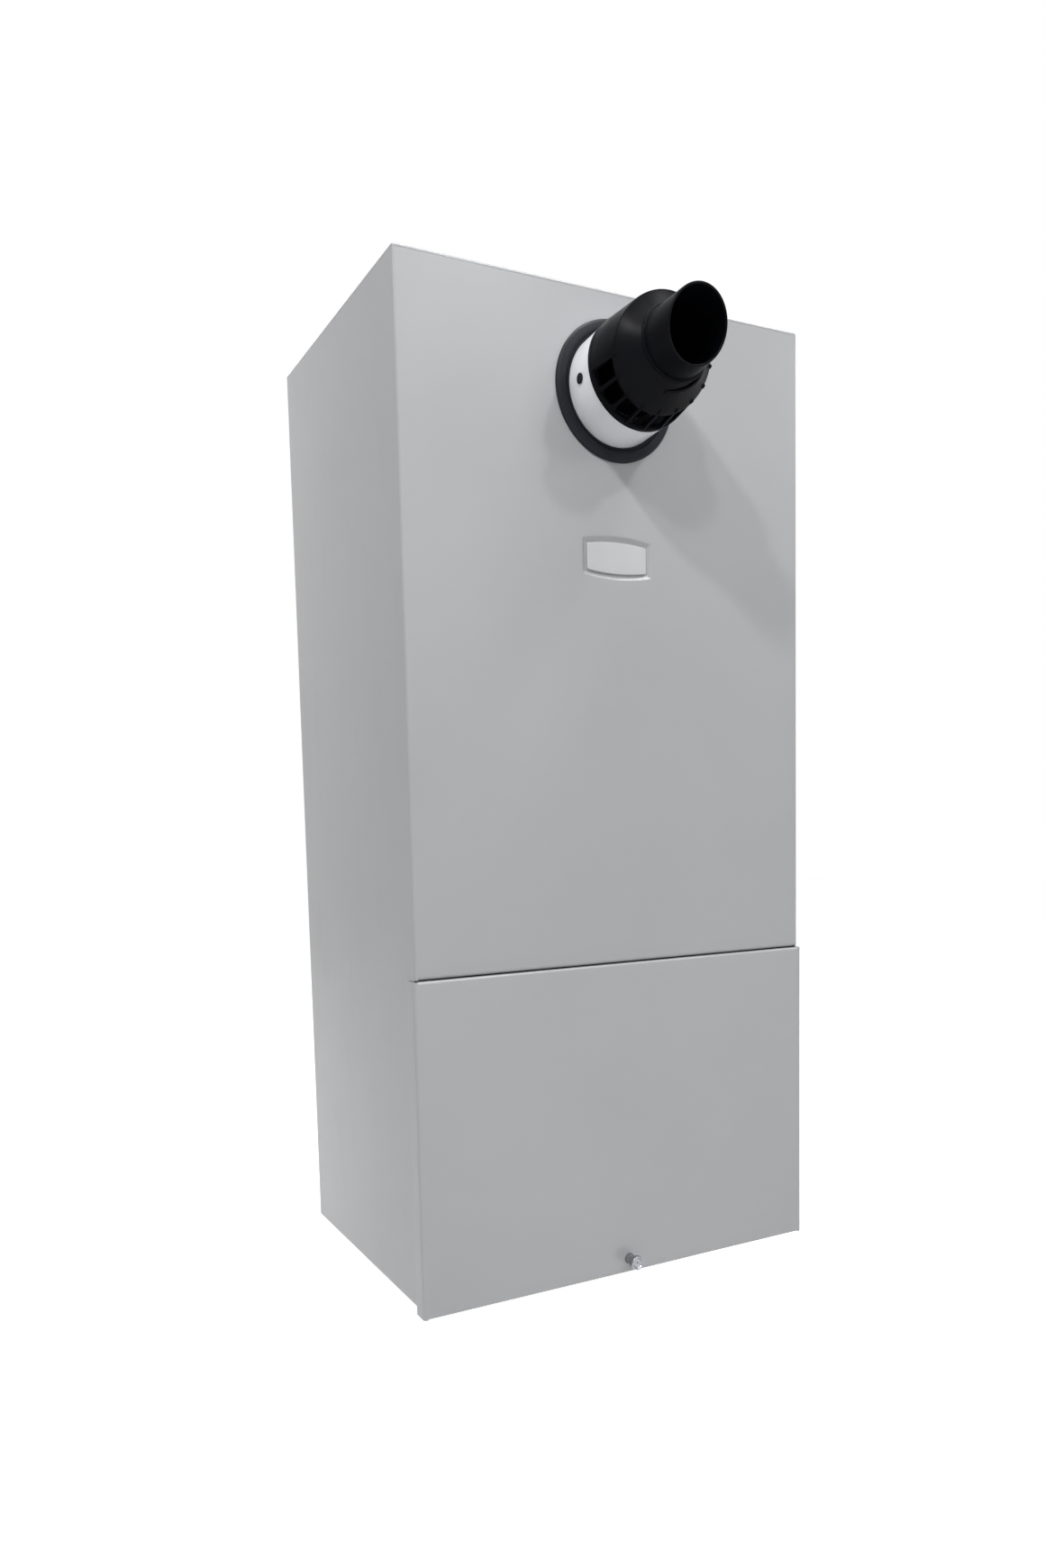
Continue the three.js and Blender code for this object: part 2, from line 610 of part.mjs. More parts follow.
// Ferrule in the cover that holds the screw captive and stands it off the face
function screwFerrule() {
  const { barrel, barrelLength, flange, flangeDepth, shank } = coverScrew;
  const bore = shank + fit.running;
  const back = clinch().ferruleBack;
  return turned([
    [bore, back - flangeDepth], [flange, back - flangeDepth], [flange, back], [barrel, back],
    [barrel, cover.proud + barrelLength], [bore, cover.proud + barrelLength], [bore, back - flangeDepth],
  ]);
}

// Cross-recessed captive screw
function captiveScrew() {
  const { head, headLength, chamfer, shank, reach, recess, recessReach, recessDepth, barrelLength } = coverScrew;
  const seat = cover.proud + barrelLength + fit.gap;
  const top = seat + headLength;
  const body = turned([
    [0, -reach], [shank - chamfer, -reach], [shank, -reach + chamfer], [shank, seat], [head, seat],
    [head, top - chamfer], [head - chamfer, top], [0, top],
  ]);
  const slot = block([-recessReach, recessReach], [-recess / 2, recess / 2], [top - recessDepth, top + fit.overrun]);
  return cut(body, slot, slot.clone().rotateZ(Math.PI / 2));
}

// Clinch nut in the bottom panel's flange
function clinchNut() {
  const { shank, nutWall, nutDepth } = coverScrew;
  const { nutFace, neck } = clinch();
  const body = rod(shank + nutWall, nutDepth, facets.hex).translate(0, 0, nutFace - nutDepth);
  const collar = rod(neck - fit.gap, casing.sheet + fit.gap, facets.small).translate(0, 0, nutFace - fit.gap);
  const bore = rod(shank + fit.running, nutDepth + casing.sheet + 2 * fit.overrun, facets.small)
    .translate(0, 0, nutFace - nutDepth - fit.overrun);
  return cut(join(body, collar), bore);
}

// Blank badge with bowed edges, seated in the pressed recess
function badgePlate() {
  return new THREE.ExtrudeGeometry(new THREE.Shape(pillow(badge.width, badge.side, badge.middle)), {
    depth: badge.thickness - 2 * badge.bevel, bevelThickness: badge.bevel, bevelSize: badge.bevel,
    bevelOffset: -badge.bevel, bevelSegments: 1,
  }).translate(0, 0, badge.bevel);
}

// Cable gland in the floor
function cableGland() {
  const { body, nut, nutDepth, dome, above, below, tip, bore } = gland;
  const { sheet } = casing;
  const flange = rod(nut, below, facets.hex).translate(0, 0, -below);
  const thread = rod(body, above, facets.pipe);
  const locknut = rod(nut, nutDepth, facets.hex).translate(0, 0, sheet);
  const top = turned([[0, above], [dome, above], [tip, above + dome / 2], [0, above + dome / 2]], facets.small);
  const hole = rod(bore, above + dome + 2 * below, facets.small).translate(0, 0, -below - fit.overrun);
  return cut(join(flange, thread, locknut, top), hole);
}

// Places along the flue's axis, in the flue group's own frame, where +Z leaves the casing
const collarFace = duct.outside + fit.gap;
const cageNear = collarFace + cage.flangeDepth;
const cageFar = cageNear + cage.length;
const cageFront = cageFar + cage.face;

// Rubber grommet in the casing's flue hole, bored at the flue's tilt
function flueSealRing() {
  const { radius, edge, height, crown, groove, grooveHeight, lipHeight, neck, inner, innerDepth } = seal;
  const back = -casing.sheet - innerDepth;
  const lip = duct.radius + seal.lipWall;
  const grip = duct.radius - seal.grip;
  const ring = turned([
    [grip, back], [inner, back], [inner, -casing.sheet], [neck - fit.gap, -casing.sheet],
    [neck - fit.gap, 0], [radius, 0], [radius, edge], [crown, height], [groove, height],
    [groove, grooveHeight], [lip, grooveHeight], [lip, lipHeight], [grip, lipHeight], [grip, back],
  ], facets.wide);
  const through = rod(duct.radius + fit.gap, 2 * seal.radius, facets.wide)
    .translate(0, 0, -seal.radius).rotateX(-flue.tilt);
  return cut(ring, through);
}

function radialRod(radius, from, to, angle, along) {
  return toRight(rod(radius, to - from)).translate(from, 0, 0).rotateZ(angle).translate(0, 0, along);
}

function airDuct() {
  const { radius, wall, inside, outside } = duct;
  const tube = turned([
    [radius - wall, -inside], [radius, -inside], [radius, outside], [radius - wall, outside],
    [radius - wall, -inside],
  ], facets.wide);
  const hole = radialRod(plug.shank + fit.gap, radius - plug.depth, radius + fit.overrun, plug.angle, plug.along);
  return cut(tube, hole);
}

// Rubber plug of the gas sampling hole in the duct's side
function samplingPlug() {
  const { radius, head, shank, depth, angle, along } = plug;
  const seat = duct.radius + fit.gap;
  return join(
    radialRod(radius, seat, seat + head, angle, along),
    radialRod(shank, duct.radius - depth, seat + head / 2, angle, along),
  );
}

// How far the cage's slanted rim lies in front of its middle, at a place across the axis
function slantAt(x, y) {
  return Math.tan(cage.slant) * (x * Math.cos(cage.slantTo) + y * Math.sin(cage.slantTo));
}

// A turned form whose rings beyond a height follow the cage's slant, all but the ring round the nozzle
function slanted(profile, beyond) {
  const geometry = turned(profile, facets.wide);
  const { position } = geometry.attributes;
  for (let i = 0; i < position.count; i += 1) {
    const [x, y, z] = [position.getX(i), position.getY(i), position.getZ(i)];
    const roundNozzle = Math.hypot(x, y) < nozzle.base + 2 * fit.gap;
    if (z > beyond && !roundNozzle) position.setZ(i, z + slantAt(x, y));
  }
  return geometry;
}

// Terminal: spigot and collar, a tapering cage with windows round its lower half, and a coned face.
// The cage is cut off at a slant, so that its rim stands furthest out at the top.
function terminalCage() {
  const { spigotWall, spigotIn, flange, near, far, wall, faceWall, rim, rimRise, hood, ribRise } = cage;
  const spigot = duct.radius - duct.wall - fit.gap;
  const open = nozzle.base + fit.gap;
  const shell = slanted([
    [spigot - spigotWall, duct.outside - spigotIn], [spigot, duct.outside - spigotIn],
    [spigot, collarFace], [flange, collarFace], [flange, cageNear], [near, cageNear],
    [far, cageFar - rim], [far + rimRise, cageFar - rim], [far + rimRise, cageFar], [open, cageFront],
    [open, cageFront - faceWall], [far - wall, cageFar - faceWall], [near - wall, cageNear],
    [spigot - spigotWall, duct.outside - spigotIn],
  ], cageNear);
  const hoodRing = slanted([
    [near - wall / 2, cageNear], [near + hood, cageNear], [far + hood, cageFar], [far - wall / 2, cageFar],
    [near - wall / 2, cageNear],
  ], cageNear);
  const firstRib = cage.windowFirst - cage.windowPitch / 2;
  const hoodEdge = near * Math.sin(firstRib);
  const below = block([-2 * near, 2 * near], [-2 * near, hoodEdge], [cageNear - near, cageFar + near]);
  const radially = new THREE.Matrix4().makeBasis(
    new THREE.Vector3(0, 0, 1), new THREE.Vector3(0, -1, 0), new THREE.Vector3(1, 0, 0),
  );
  const rimAt = (angle) => cageFar + slantAt(far * Math.cos(angle), far * Math.sin(angle));
  const windows = Array.from({ length: cage.windows }, (_, k) => {
    const angle = cage.windowFirst + k * cage.windowPitch;
    const from = cageNear + cage.windowFrom;
    const half = (rimAt(angle) - cage.windowBand - from) / 2;
    const shape = roundedBox([-half, half], [-cage.windowWidth / 2, cage.windowWidth / 2], cage.windowCorner);
    return prism(shape, 2 * wall + near - far + fit.slip).applyMatrix4(radially)
      .translate(far - 2 * wall, 0, from + half).rotateZ(angle);
  });
  const ribs = Array.from({ length: cage.windows + 1 }, (_, k) => {
    const angle = firstRib + k * cage.windowPitch;
    const end = rimAt(angle) + cage.tooth;
    const shape = new THREE.Shape([
      new THREE.Vector2(near - wall / 2, cageNear), new THREE.Vector2(near + ribRise, cageNear),
      new THREE.Vector2(far + ribRise, end), new THREE.Vector2(far - wall / 2, end),
    ]);
    return prism(shape, cage.rib).translate(0, 0, -cage.rib / 2).rotateX(Math.PI / 2).rotateZ(angle);
  });
  return join(cut(shell, ...windows), cut(hoodRing, below), ...ribs);
}

// Exhaust nozzle: a socket over the flue pipe, a step in front of the cage and a slanted mouth
function exhaustNozzle() {
  const { base, tip, wall, step, stepDepth, length, slant, socketWall, socketFrom, socketTo, shoulder } = nozzle;
  const bore = flue.pipe + fit.gap;
  const end = length + tip * Math.tan(slant) + fit.overrun;
  const stepAt = cageFront + fit.gap;
  const body = turned([
    [bore, socketFrom], [bore + socketWall, socketFrom], [bore + socketWall, socketTo],
    [base, socketTo + shoulder], [base, stepAt], [step, stepAt], [step, stepAt + stepDepth],
    [base, stepAt + stepDepth], [tip, end], [tip - wall, end], [base - wall, socketTo + shoulder],
    [bore, socketTo], [bore, socketFrom],
  ], facets.wide);
  const away = block([-2 * tip, 2 * tip], [-2 * tip, 2 * tip], [0, 2 * tip])
    .rotateX(slant).translate(0, 0, length);
  return cut(body, away);
}

const outletDepth = drum.rear + drumLength / 2;
const flueCorner = (casing.depth - outletDepth) / Math.cos(flue.tilt);
const elbowStart = flueCorner - elbow.bend - elbow.lead;

function innerFluePipe() {
  const { pipe: radius, pipeWall, pipeOut } = flue;
  const pipeIn = elbowStart + flue.pipeGrip;
  return turned([
    [radius - pipeWall, -pipeIn], [radius, -pipeIn], [radius, pipeOut], [radius - pipeWall, pipeOut],
    [radius - pipeWall, -pipeIn],
  ], facets.wide);
}

// Elbow from the tilted pipe down into the drum's outlet
function flueElbow() {
  const onAxis = (s) => [0, -casing.depth + s * Math.cos(flue.tilt), flue.height - s * Math.sin(flue.tilt)];
  const corner = onAxis(flueCorner);
  const end = [0, -outletDepth, drum.height + drum.radius + drum.outletRise - elbow.overlap];
  return pipeAlong([onAxis(elbowStart), corner, end], elbow.bend, elbow.radius, elbow.wall, facets.wide);
}

// Drum of the heat exchanger, open to the front, in the drum's own frame: +Z to the front, +Y up
const stubPlaces = [
  { y: -stubs.returnDrop, z: pipeRow.depth - drum.rear },
  { y: stubs.flowRise, z: flowDepth - drum.rear },
];

function exchangerShell() {
  const { radius, wall, flange, flangeDepth, outletWall, outletRise } = drum;
  const length = drumLength;
  const { drain, drainWall, drainDrop } = drum;
  const body = turned([
    [0, 0], [radius, 0], [radius, length], [radius + flange, length], [radius + flange, length + flangeDepth],
    [radius - wall, length + flangeDepth], [radius - wall, wall], [0, wall],
  ], facets.wide);
  const start = radius - 2 * wall;
  const seat = elbow.radius + fit.gap;
  const drainAt = pipeRow.depth - drum.rear;
  const upward = (r, from, to, z) => toRear(rod(r, to - from, facets.wide)).translate(0, from, z);
  const downward = (r, from, to, z) => toFront(rod(r, to - from)).translate(0, -from, z);
  const stubHoles = stubPlaces.map(({ y, z }) => toRight(rod(coil.stub + fit.gap, radius, facets.pipe))
    .translate(coilOuter - coil.valley, y, z));
  return cut(
    join(
      body,
      cut(upward(seat + outletWall, start, radius + outletRise, length / 2), rod(radius - wall, length, facets.wide)),
      cut(downward(drain + drainWall, start, radius + drainDrop, drainAt), rod(radius - wall, length, facets.wide)),
    ),
    upward(seat, start - wall, radius + outletRise + fit.overrun, length / 2),
    downward(drain, start - wall, radius + drainDrop + fit.overrun, drainAt),
    ...stubHoles,
  );
}

// Coil: a corrugated ring of water passages with its two pipe stubs
function exchangerCoil() {
  const { from, turns, valley, stub } = coil;
  const inner = coilInner;
  const outer = coilOuter;
  const pitch = (drumLength - from - coil.end) / turns;
  const waves = Array.from({ length: turns }, (_, k) => from + k * pitch).flatMap((z) => [
    [outer - valley, z], [outer, z + pitch / 2],
  ]);
  const end = from + turns * pitch;
  const ring = turned([[inner, from], ...waves, [outer - valley, end], [inner, end], [inner, from]]);
  const pipes = stubPlaces.map(({ y, z }) => toRight(rod(stub, stubEnd - inner - valley, facets.pipe))
    .translate(inner + valley, y, z));
  return join(ring, ...pipes);
}

const gasketFace = drumLength + drum.flangeDepth;
const doorBack = gasketFace + gasket.thickness;
const doorFront = doorBack + door.thickness;
const drumRim = drum.radius + drum.flange;

function burnerGasket() {
  const inner = drum.radius - gasket.inset;
  return turned([
    [inner, gasketFace], [drumRim, gasketFace], [drumRim, doorBack], [inner, doorBack], [inner, gasketFace],
  ], facets.wide);
}

function burnerTube() {
  const { wall, flange, flangeDepth } = burner;
  const radius = coilInner / 2;
  const rear = doorBack - drumLength + burner.rear;
  return turned([
    [0, rear], [radius, rear], [radius, doorBack - flangeDepth], [radius + flange, doorBack - flangeDepth],
    [radius + flange, doorBack], [radius - wall, doorBack], [radius - wall, rear + wall], [0, rear + wall],
  ]);
}

// Cast door with a raised rim, radial ribs and the boss that takes the mixing duct
function burnerDoor() {
  const { thickness, ribs, rib, ribRise, ribFrom, boss, bossRise, rim } = door;
  const plate = turned([
    [0, doorBack], [drumRim, doorBack], [drumRim, doorFront + ribRise / 2],
    [drumRim - rim, doorFront + ribRise / 2], [drumRim - rim, doorFront], [0, doorFront],
  ], facets.wide);
  const bars = repeat(ribs, (i, angle) => block(
    [ribFrom - door.boss / 2, drumRim - rim / 2], [-rib / 2, rib / 2], [doorFront - thickness / 2, doorFront + ribRise],
  ).rotateZ(angle + Math.PI / ribs));
  const neck = rod(boss, thickness / 2 + bossRise, facets.round).translate(0, 0, doorFront - thickness / 2);
  const bore = rod(mixDuct.radius - mixDuct.wall, thickness + bossRise + 2 * fit.overrun)
    .translate(0, 0, doorBack - fit.overrun);
  const pass = rod(electrode.radius + fit.gap, thickness + 2 * fit.overrun)
    .translate(electrode.out, electrode.out, doorBack - fit.overrun);
  return cut(join(plate, ...bars, neck), bore, pass);
}

function ignitionElectrode() {
  const { radius, flange, flangeDepth, tail, reach, tip } = electrode;
  const seat = doorFront + fit.gap;
  return turned([
    [0, doorBack - reach], [tip, doorBack - reach], [tip, doorBack - tail], [radius, doorBack - tail],
    [radius, seat], [flange, seat], [flange, seat + flangeDepth], [radius, seat + flangeDepth],
    [radius, seat + flangeDepth + tail], [0, seat + flangeDepth + tail],
  ], facets.small).translate(electrode.out, electrode.out, 0);
}

function exchangerBracket() {
  const { half, foot, sheet, bend, reach, window: opening } = drumBracket;
  const back = -panelFront;
  const front = -drum.rear + sheet;
  const hat = prism(foldedOutline([
    [half + foot, back], [half, back], [half, front], [-half, front], [-half, back], [-half - foot, back],
  ], sheet, bend), 2 * reach).translate(0, 0, drum.height - reach);
  const hole = toFront(rod(opening, drum.rear + fit.overrun)).translate(0, 0, drum.height);
  return cut(hat, hole);
}

// Fan housing: a spiral with its outlet up one side. +Z to the front, from the inlet's side.
const scrollRadius = fan.base + fan.growth;
const fanSide = scrollRadius - fan.outletWidth / 2;

function scroll(inset, over) {
  const left = -scrollRadius + inset;
  const right = -scrollRadius + fan.outletWidth - inset;
  const start = Math.acos(-right / (fan.base - inset));
  const points = Array.from({ length: fan.steps + 1 }, (_, k) => {
    const swept = start + ((2 * Math.PI - start) * k) / fan.steps;
    const radius = fan.base - inset + (fan.growth * swept) / (2 * Math.PI);
    return new THREE.Vector2(-radius * Math.cos(swept), radius * Math.sin(swept));
  });
  points.push(new THREE.Vector2(left, fan.outletRise + over), new THREE.Vector2(right, fan.outletRise + over));
  return new THREE.Shape(points);
}

function fanHousing() {
  const { depth, wall, skin, inlet, shaftHole } = fan;
  return cut(
    prism(scroll(0, 0), depth),
    prism(scroll(skin, fit.overrun), depth - 2 * wall).translate(0, 0, wall),
    rod(inlet, wall + 2 * fit.overrun, facets.round).translate(0, 0, -fit.overrun),
    rod(shaftHole, wall + 2 * fit.overrun).translate(0, 0, depth - wall - fit.overrun),
  );
}

// Fan wheel: curved blades between a shroud and a back plate, with its hub and shaft
function fanImpeller() {
  const { radius, eye, blades, blade, plate, shroud, shroudEye, from, height, hub, hubLength, shaft } = wheel;
  const end = from + height;
  const edge = (way) => Array.from({ length: wheel.bladeSteps + 1 }, (_, k) => {
    const share = k / wheel.bladeSteps;
    const r = eye + (radius - blade / 2 - eye) * share;
    const angle = wheel.sweep * share + (way * blade) / (2 * r);
    return new THREE.Vector2(r * Math.cos(angle), r * Math.sin(angle));
  });
  const bladeShape = new THREE.Shape([...edge(-1), ...edge(1).reverse()]);
  const vanes = repeat(blades, (i, angle) => prism(bladeShape, height - plate / 2)
    .translate(0, 0, from).rotateZ(angle));
  const ring = turned([
    [shroudEye, from], [radius, from], [radius, from + shroud], [shroudEye, from + shroud], [shroudEye, from],
  ]);
  const core = turned([
    [0, end - hubLength], [hub, end - hubLength], [hub, end - plate], [radius, end - plate], [radius, end],
    [shaft, end], [shaft, fan.depth + wheel.shaftReach], [0, fan.depth + wheel.shaftReach],
  ]);
  return join(ring, core, ...vanes);
}

function fanMotor() {
  const { radius, length, ribs, rib, ribRise, cap, capDepth, bore, boreDepth } = motor;
  const can = rod(radius, length, facets.round);
  const fins = repeat(ribs, (i, angle) => block([radius - ribRise, radius + ribRise], [-rib / 2, rib / 2], [rib, length - rib])
    .rotateZ(angle));
  const end = rod(cap, capDepth, facets.round).translate(0, 0, length);
  const hole = rod(bore, boreDepth + fit.overrun).translate(0, 0, -fit.overrun);
  return cut(join(can, ...fins, end), hole);
}

// Gas mixer: a waisted inlet behind the fan with the arm that brings the gas
function gasMixer() {
  const { radius, throat, length, lip, lipDepth, arm, armDepth, flange, flangeDepth } = mixer;
  const mouth = fan.inlet - fit.overrun;
  const bell = turned([
    [mouth, 0], [radius, 0], [radius, length - lipDepth], [lip, length - lipDepth], [lip, length],
    [radius, length], [throat, length / 2], [mouth, 0],
  ]);
  const reach = fanSide - pipeRow.gas - gasValve.width / 2 - fit.gap;
  const tube = toLeft(rod(arm, reach - throat - radius / 4)).translate(-throat - radius / 4, 0, armDepth);
  const foot = toLeft(rod(flange, flangeDepth)).translate(-reach + flangeDepth, 0, armDepth);
  return cut(join(bell, tube, foot), rod(throat, length, facets.round));
}

function mixingDuct() {
  const { radius, bend, wall, flangeSide, flangeFront, flangeThick, flangeCorner, doorFlange } = mixDuct;
  const depth = fan.rear + fan.depth / 2;
  const low = fan.height + fan.outletRise + fit.gap;
  const doorFace = drum.rear + doorFront + door.bossRise + fit.gap;
  const tube = pipeAlong(
    [[0, -depth, low], [0, -depth, drum.height], [0, -doorFace, drum.height]], bend, radius, wall,
  );
  const fanFlange = prism(
    roundedBox([-flangeSide / 2, flangeSide / 2], [-flangeFront / 2, flangeFront / 2], flangeCorner), flangeThick,
  );
  const endFlange = rod(doorFlange, flangeThick, facets.pipe);
  const bore = rod(radius - wall / 2, flangeThick + 2 * fit.overrun, facets.pipe).translate(0, 0, -fit.overrun);
  return join(
    tube,
    cut(fanFlange, bore).translate(0, -depth, low),
    toFront(cut(endFlange, bore)).translate(0, -doorFace, drum.height),
  );
}

// Gas valve block with two solenoids facing the front and a boss below for the gas pipe
const valveLow = fan.height - gasValve.below;

function gasValveBlock() {
  const { width, depth, inlet, coil: solenoid, coilReach, cap, capReach, corner, bossDrop } = gasValve;
  const side = pipeRow.gas;
  const front = casing.depth - fromFront.valve;
  const outline = roundedBox([side - width / 2, side + width / 2], [-front, depth - front], corner);
  const body = prism(outline, gasValve.below + gasValve.above).translate(0, 0, valveLow);
  const coils = [fan.height - gasValve.coilDrop, fan.height + gasValve.coilRise].flatMap((z) => [
    toFront(rod(solenoid, coilReach + corner, facets.round)).translate(side, -front + corner, z),
    toFront(rod(cap, capReach)).translate(side, -front - coilReach, z),
  ]);
  const boss = rod(inlet, bossDrop + corner, facets.hex).translate(side, -gasRun.depth, valveLow - bossDrop);
  return join(body, ...coils, boss);
}

const railTop = pipeRail.height + pipeRail.sheet;
const cockTop = railTop + cock.collar + cock.ballRise + cock.neckRise + cock.union;
const manifoldLow = cockTop + fit.gap;
const manifoldTop = manifoldLow + manifold.height;
const pumpHeight = manifoldTop + fit.gap + pump.portRise;

function gasPipe() {
  const end = valveLow - gasValve.bossDrop - fit.gap;
  const turn = valveLow - gasValve.bossDrop - gasRun.drop;
  return pipeAlong([
    [pipeRow.gas, -pipeRow.depth, cockTop + fit.gap], [pipeRow.gas, -pipeRow.depth, turn],
    [pipeRow.gas, -gasRun.depth, turn], [pipeRow.gas, -gasRun.depth, end],
  ], pipe.bend, pipe.radius);
}

function flowPipe() {
  const top = drum.height + stubs.flowRise;
  return pipeAlong([
    [stubEnd + fit.gap, -flowDepth, top], [pipeRow.flow, -flowDepth, top],
    [pipeRow.flow, -flowDepth, flowRun.turn], [pipeRow.flow, -pipeRow.depth, flowRun.turn],
    [pipeRow.flow, -pipeRow.depth, cockTop + fit.gap],
  ], pipe.bend, pipe.radius);
}

function returnPipe() {
  const top = drum.height - stubs.returnDrop;
  return pipeAlong([
    [pipeRow.ret, -pipeRow.depth, pumpHeight + pump.portRise + fit.gap], [pipeRow.ret, -pipeRow.depth, top],
    [stubEnd + fit.gap, -pipeRow.depth, top],
  ], stubs.returnBend, pipe.radius);
}

// Flat round expansion vessel with pressed domes, a rolled seam, its port and its rear lug
function expansionVessel() {
  const { radius, thickness, dome, seam, seamWidth, lugWidth, lugHeight, port, portDrop, valve, valveReach } = vessel;
  const middle = thickness / 2;
  const near = vessel.domeShares.map(([r, z]) => [radius * r, dome * z]);
  const farSide = [...near].reverse().map(([r, z]) => [r, thickness - z]);
  const shell = toRight(turned([
    [0, 0], ...near, [radius, middle - seamWidth / 2], [radius + seam, middle - seamWidth / 2],
    [radius + seam, middle + seamWidth / 2], [radius, middle + seamWidth / 2], ...farSide, [0, thickness],
  ], facets.wide)).translate(-middle, 0, 0);
  const stub = toBelow(rod(port, portDrop + seam + dome)).translate(0, 0, -radius + dome + seam);
  const lug = block(
    [-lugWidth / 2, lugWidth / 2], [radius - dome, vesselDepth - panelFront], [-lugHeight / 2, lugHeight / 2],
  );
  const nipple = toRight(rod(valve, valveReach + dome)).translate(middle - dome, 0, 0);
  return join(shell, stub, lug, nipple);
}

function vesselHose() {
  const { depth, drop, level } = hose;
  const end = pipeRow.depth - manifold.depth / 2 - manifold.bossReach - fit.gap;
  const portEnd = vessel.height - vessel.radius - vessel.portDrop;
  return pipeAlong([
    [-vesselSide, -vesselDepth, portEnd - fit.gap], [-vesselSide, -vesselDepth, portEnd - drop],
    [-vesselSide, -depth, portEnd - drop], [-vesselSide, -depth, level],
    [pipeRow.ret, -depth, level], [pipeRow.ret, -end, level],
  ], hose.bend, hose.radius);
}

function airVent() {
  const { neck, neckRise, body, bodyRise, shoulder, cap, capRise } = vent;
  const top = neckRise + bodyRise;
  return turned([
    [0, 0], [neck, 0], [neck, neckRise], [body - shoulder, neckRise], [body, neckRise + shoulder],
    [body, top - shoulder], [body - shoulder, top], [cap, top], [cap, top + capRise], [0, top + capRise],
  ], facets.pipe);
}

function returnManifold() {
  const { width, depth, height, corner, boss, bossReach } = manifold;
  const level = hose.level - manifoldLow;
  const body = prism(roundedBox([-width / 2, width / 2], [-depth / 2, depth / 2], corner), height);
  const left = toLeft(rod(boss, width / 2 + bossReach)).translate(0, 0, level);
  const rear = toRear(rod(boss, depth / 2 + bossReach)).translate(0, 0, level);
  return join(body, left, rear);
}

// Pump body: a round volute with a port and union nut above and below
function pumpBody() {
  const { radius, half, port, portRise, nut, nutDepth } = pump;
  const volute = toFront(turned([
    [0, -half], [radius - nutDepth / 2, -half], [radius, nutDepth / 2 - half], [radius, half], [0, half],
  ]));
  const ports = rod(port, 2 * portRise, facets.pipe).translate(0, 0, -portRise);
  const nuts = [-portRise, portRise - nutDepth].map((z) => rod(nut, nutDepth, facets.hex).translate(0, 0, z));
  return join(volute, ports, ...nuts);
}

// Pump motor: a finned can with its vent plug and terminal box
function pumpMotor() {
  const { can, canLength, fins, fin, finRise, finLength, plug: cap, plugRise } = pump;
  const { boxWidth, boxHeight, boxDepth, boxFrom, nutDepth } = pump;
  const body = turned([
    [0, 0], [can, 0], [can, canLength - nutDepth / 2], [can - nutDepth / 2, canLength], [0, canLength],
  ]);
  const ribs = repeat(fins, (i, angle) => block(
    [can - finRise, can + finRise], [-fin / 2, fin / 2], [nutDepth / 2, nutDepth / 2 + finLength],
  ).rotateZ(angle));
  const end = rod(cap, plugRise, facets.hex).translate(0, 0, canLength);
  const terminals = block(
    [-can - boxWidth + finRise, -can / 2], [-boxHeight / 2, boxHeight / 2], [boxFrom, boxFrom + boxDepth],
  );
  return join(body, ...ribs, end, terminals);
}

// Relief valve: body, spindle, the feed from the manifold and its discharge pipe
function reliefValve() {
  const { height, body, rear, front, neck, spindle, spindleReach, pipe: tail, pipeEnd } = relief;
  const feed = pipeRow.ret - pipeRow.relief - manifold.width / 2 - manifold.bossReach - fit.gap;
  const barrel = toFront(rod(body, front + rear, facets.round)).translate(0, rear, 0);
  const stem = toFront(rod(spindle, spindleReach)).translate(0, -front, 0);
  const side = toRight(rod(neck, feed));
  const discharge = toBelow(rod(tail, height - pipeEnd));
  const nut = toBelow(rod(neck, body + neck, facets.hex));
  return join(barrel, stem, side, nut, discharge);
}

// A knob or cap with scallops round its rim, from its seat along +Z
function scalloped(radius, depth, count, bite) {
  const body = rod(radius, depth, facets.pipe);
  const bites = repeat(count, (i, angle) => rod(bite, depth + 2 * fit.overrun, facets.hex)
    .translate(radius + bite / 2, 0, -fit.overrun).rotateZ(angle));
  return cut(body, ...bites);
}

function reliefKnob() {
  const { knob: radius, knobDepth, flutes, flute, spindle, spindleReach } = relief;
  const socket = rod(spindle + fit.running, spindleReach + fit.overrun).translate(0, 0, -fit.overrun);
  return cut(scalloped(radius, knobDepth, flutes, flute), socket);
}

// Condensate trap: a bottle with a screwed cap below and its outlet tail
function condensateTrap() {
  const { body, low, high, neck, neckRise, cap, capDepth, outlet, outletEnd, shoulder } = trap;
  return turned([
    [0, outletEnd], [outlet, outletEnd], [outlet, low], [cap, low], [cap, low + capDepth], [body, low + capDepth],
    [body, high - shoulder], [body - shoulder, high], [neck, high], [neck, high + neckRise], [0, high + neckRise],
  ], facets.pipe);
}

function condensateHose() {
  const { radius, bend, turn } = trapHose;
  return pipeAlong([
    [0, -pipeRow.depth, drum.height - drum.radius - drum.drainDrop - fit.gap], [0, -pipeRow.depth, turn],
    [pipeRow.condensate, -pipeRow.depth, turn],
    [pipeRow.condensate, -pipeRow.depth, trap.high + trap.neckRise + fit.gap],
  ], bend, radius);
}

// Rail for the pipe row: a plate with a flange up the rear panel and a turned-down front edge
function clampRail() {
  const { height, sheet, bend, rise, reach, turndown, side, neck } = pipeRail;
  const front = -pipeRow.depth - reach;
  const profile = across(foldedOutline([
    [front, height - turndown], [front, height], [-panelFront, height], [-panelFront, height + rise],
  ], sheet, bend), 2 * side);
  const holes = [pipeRow.gas, pipeRow.condensate, pipeRow.relief, pipeRow.ret, pipeRow.flow].map((x) => rod(
    neck + fit.gap, sheet + 2 * fit.overrun,
  ).translate(x, -pipeRow.depth, height - fit.overrun));
  return cut(profile, ...holes);
}

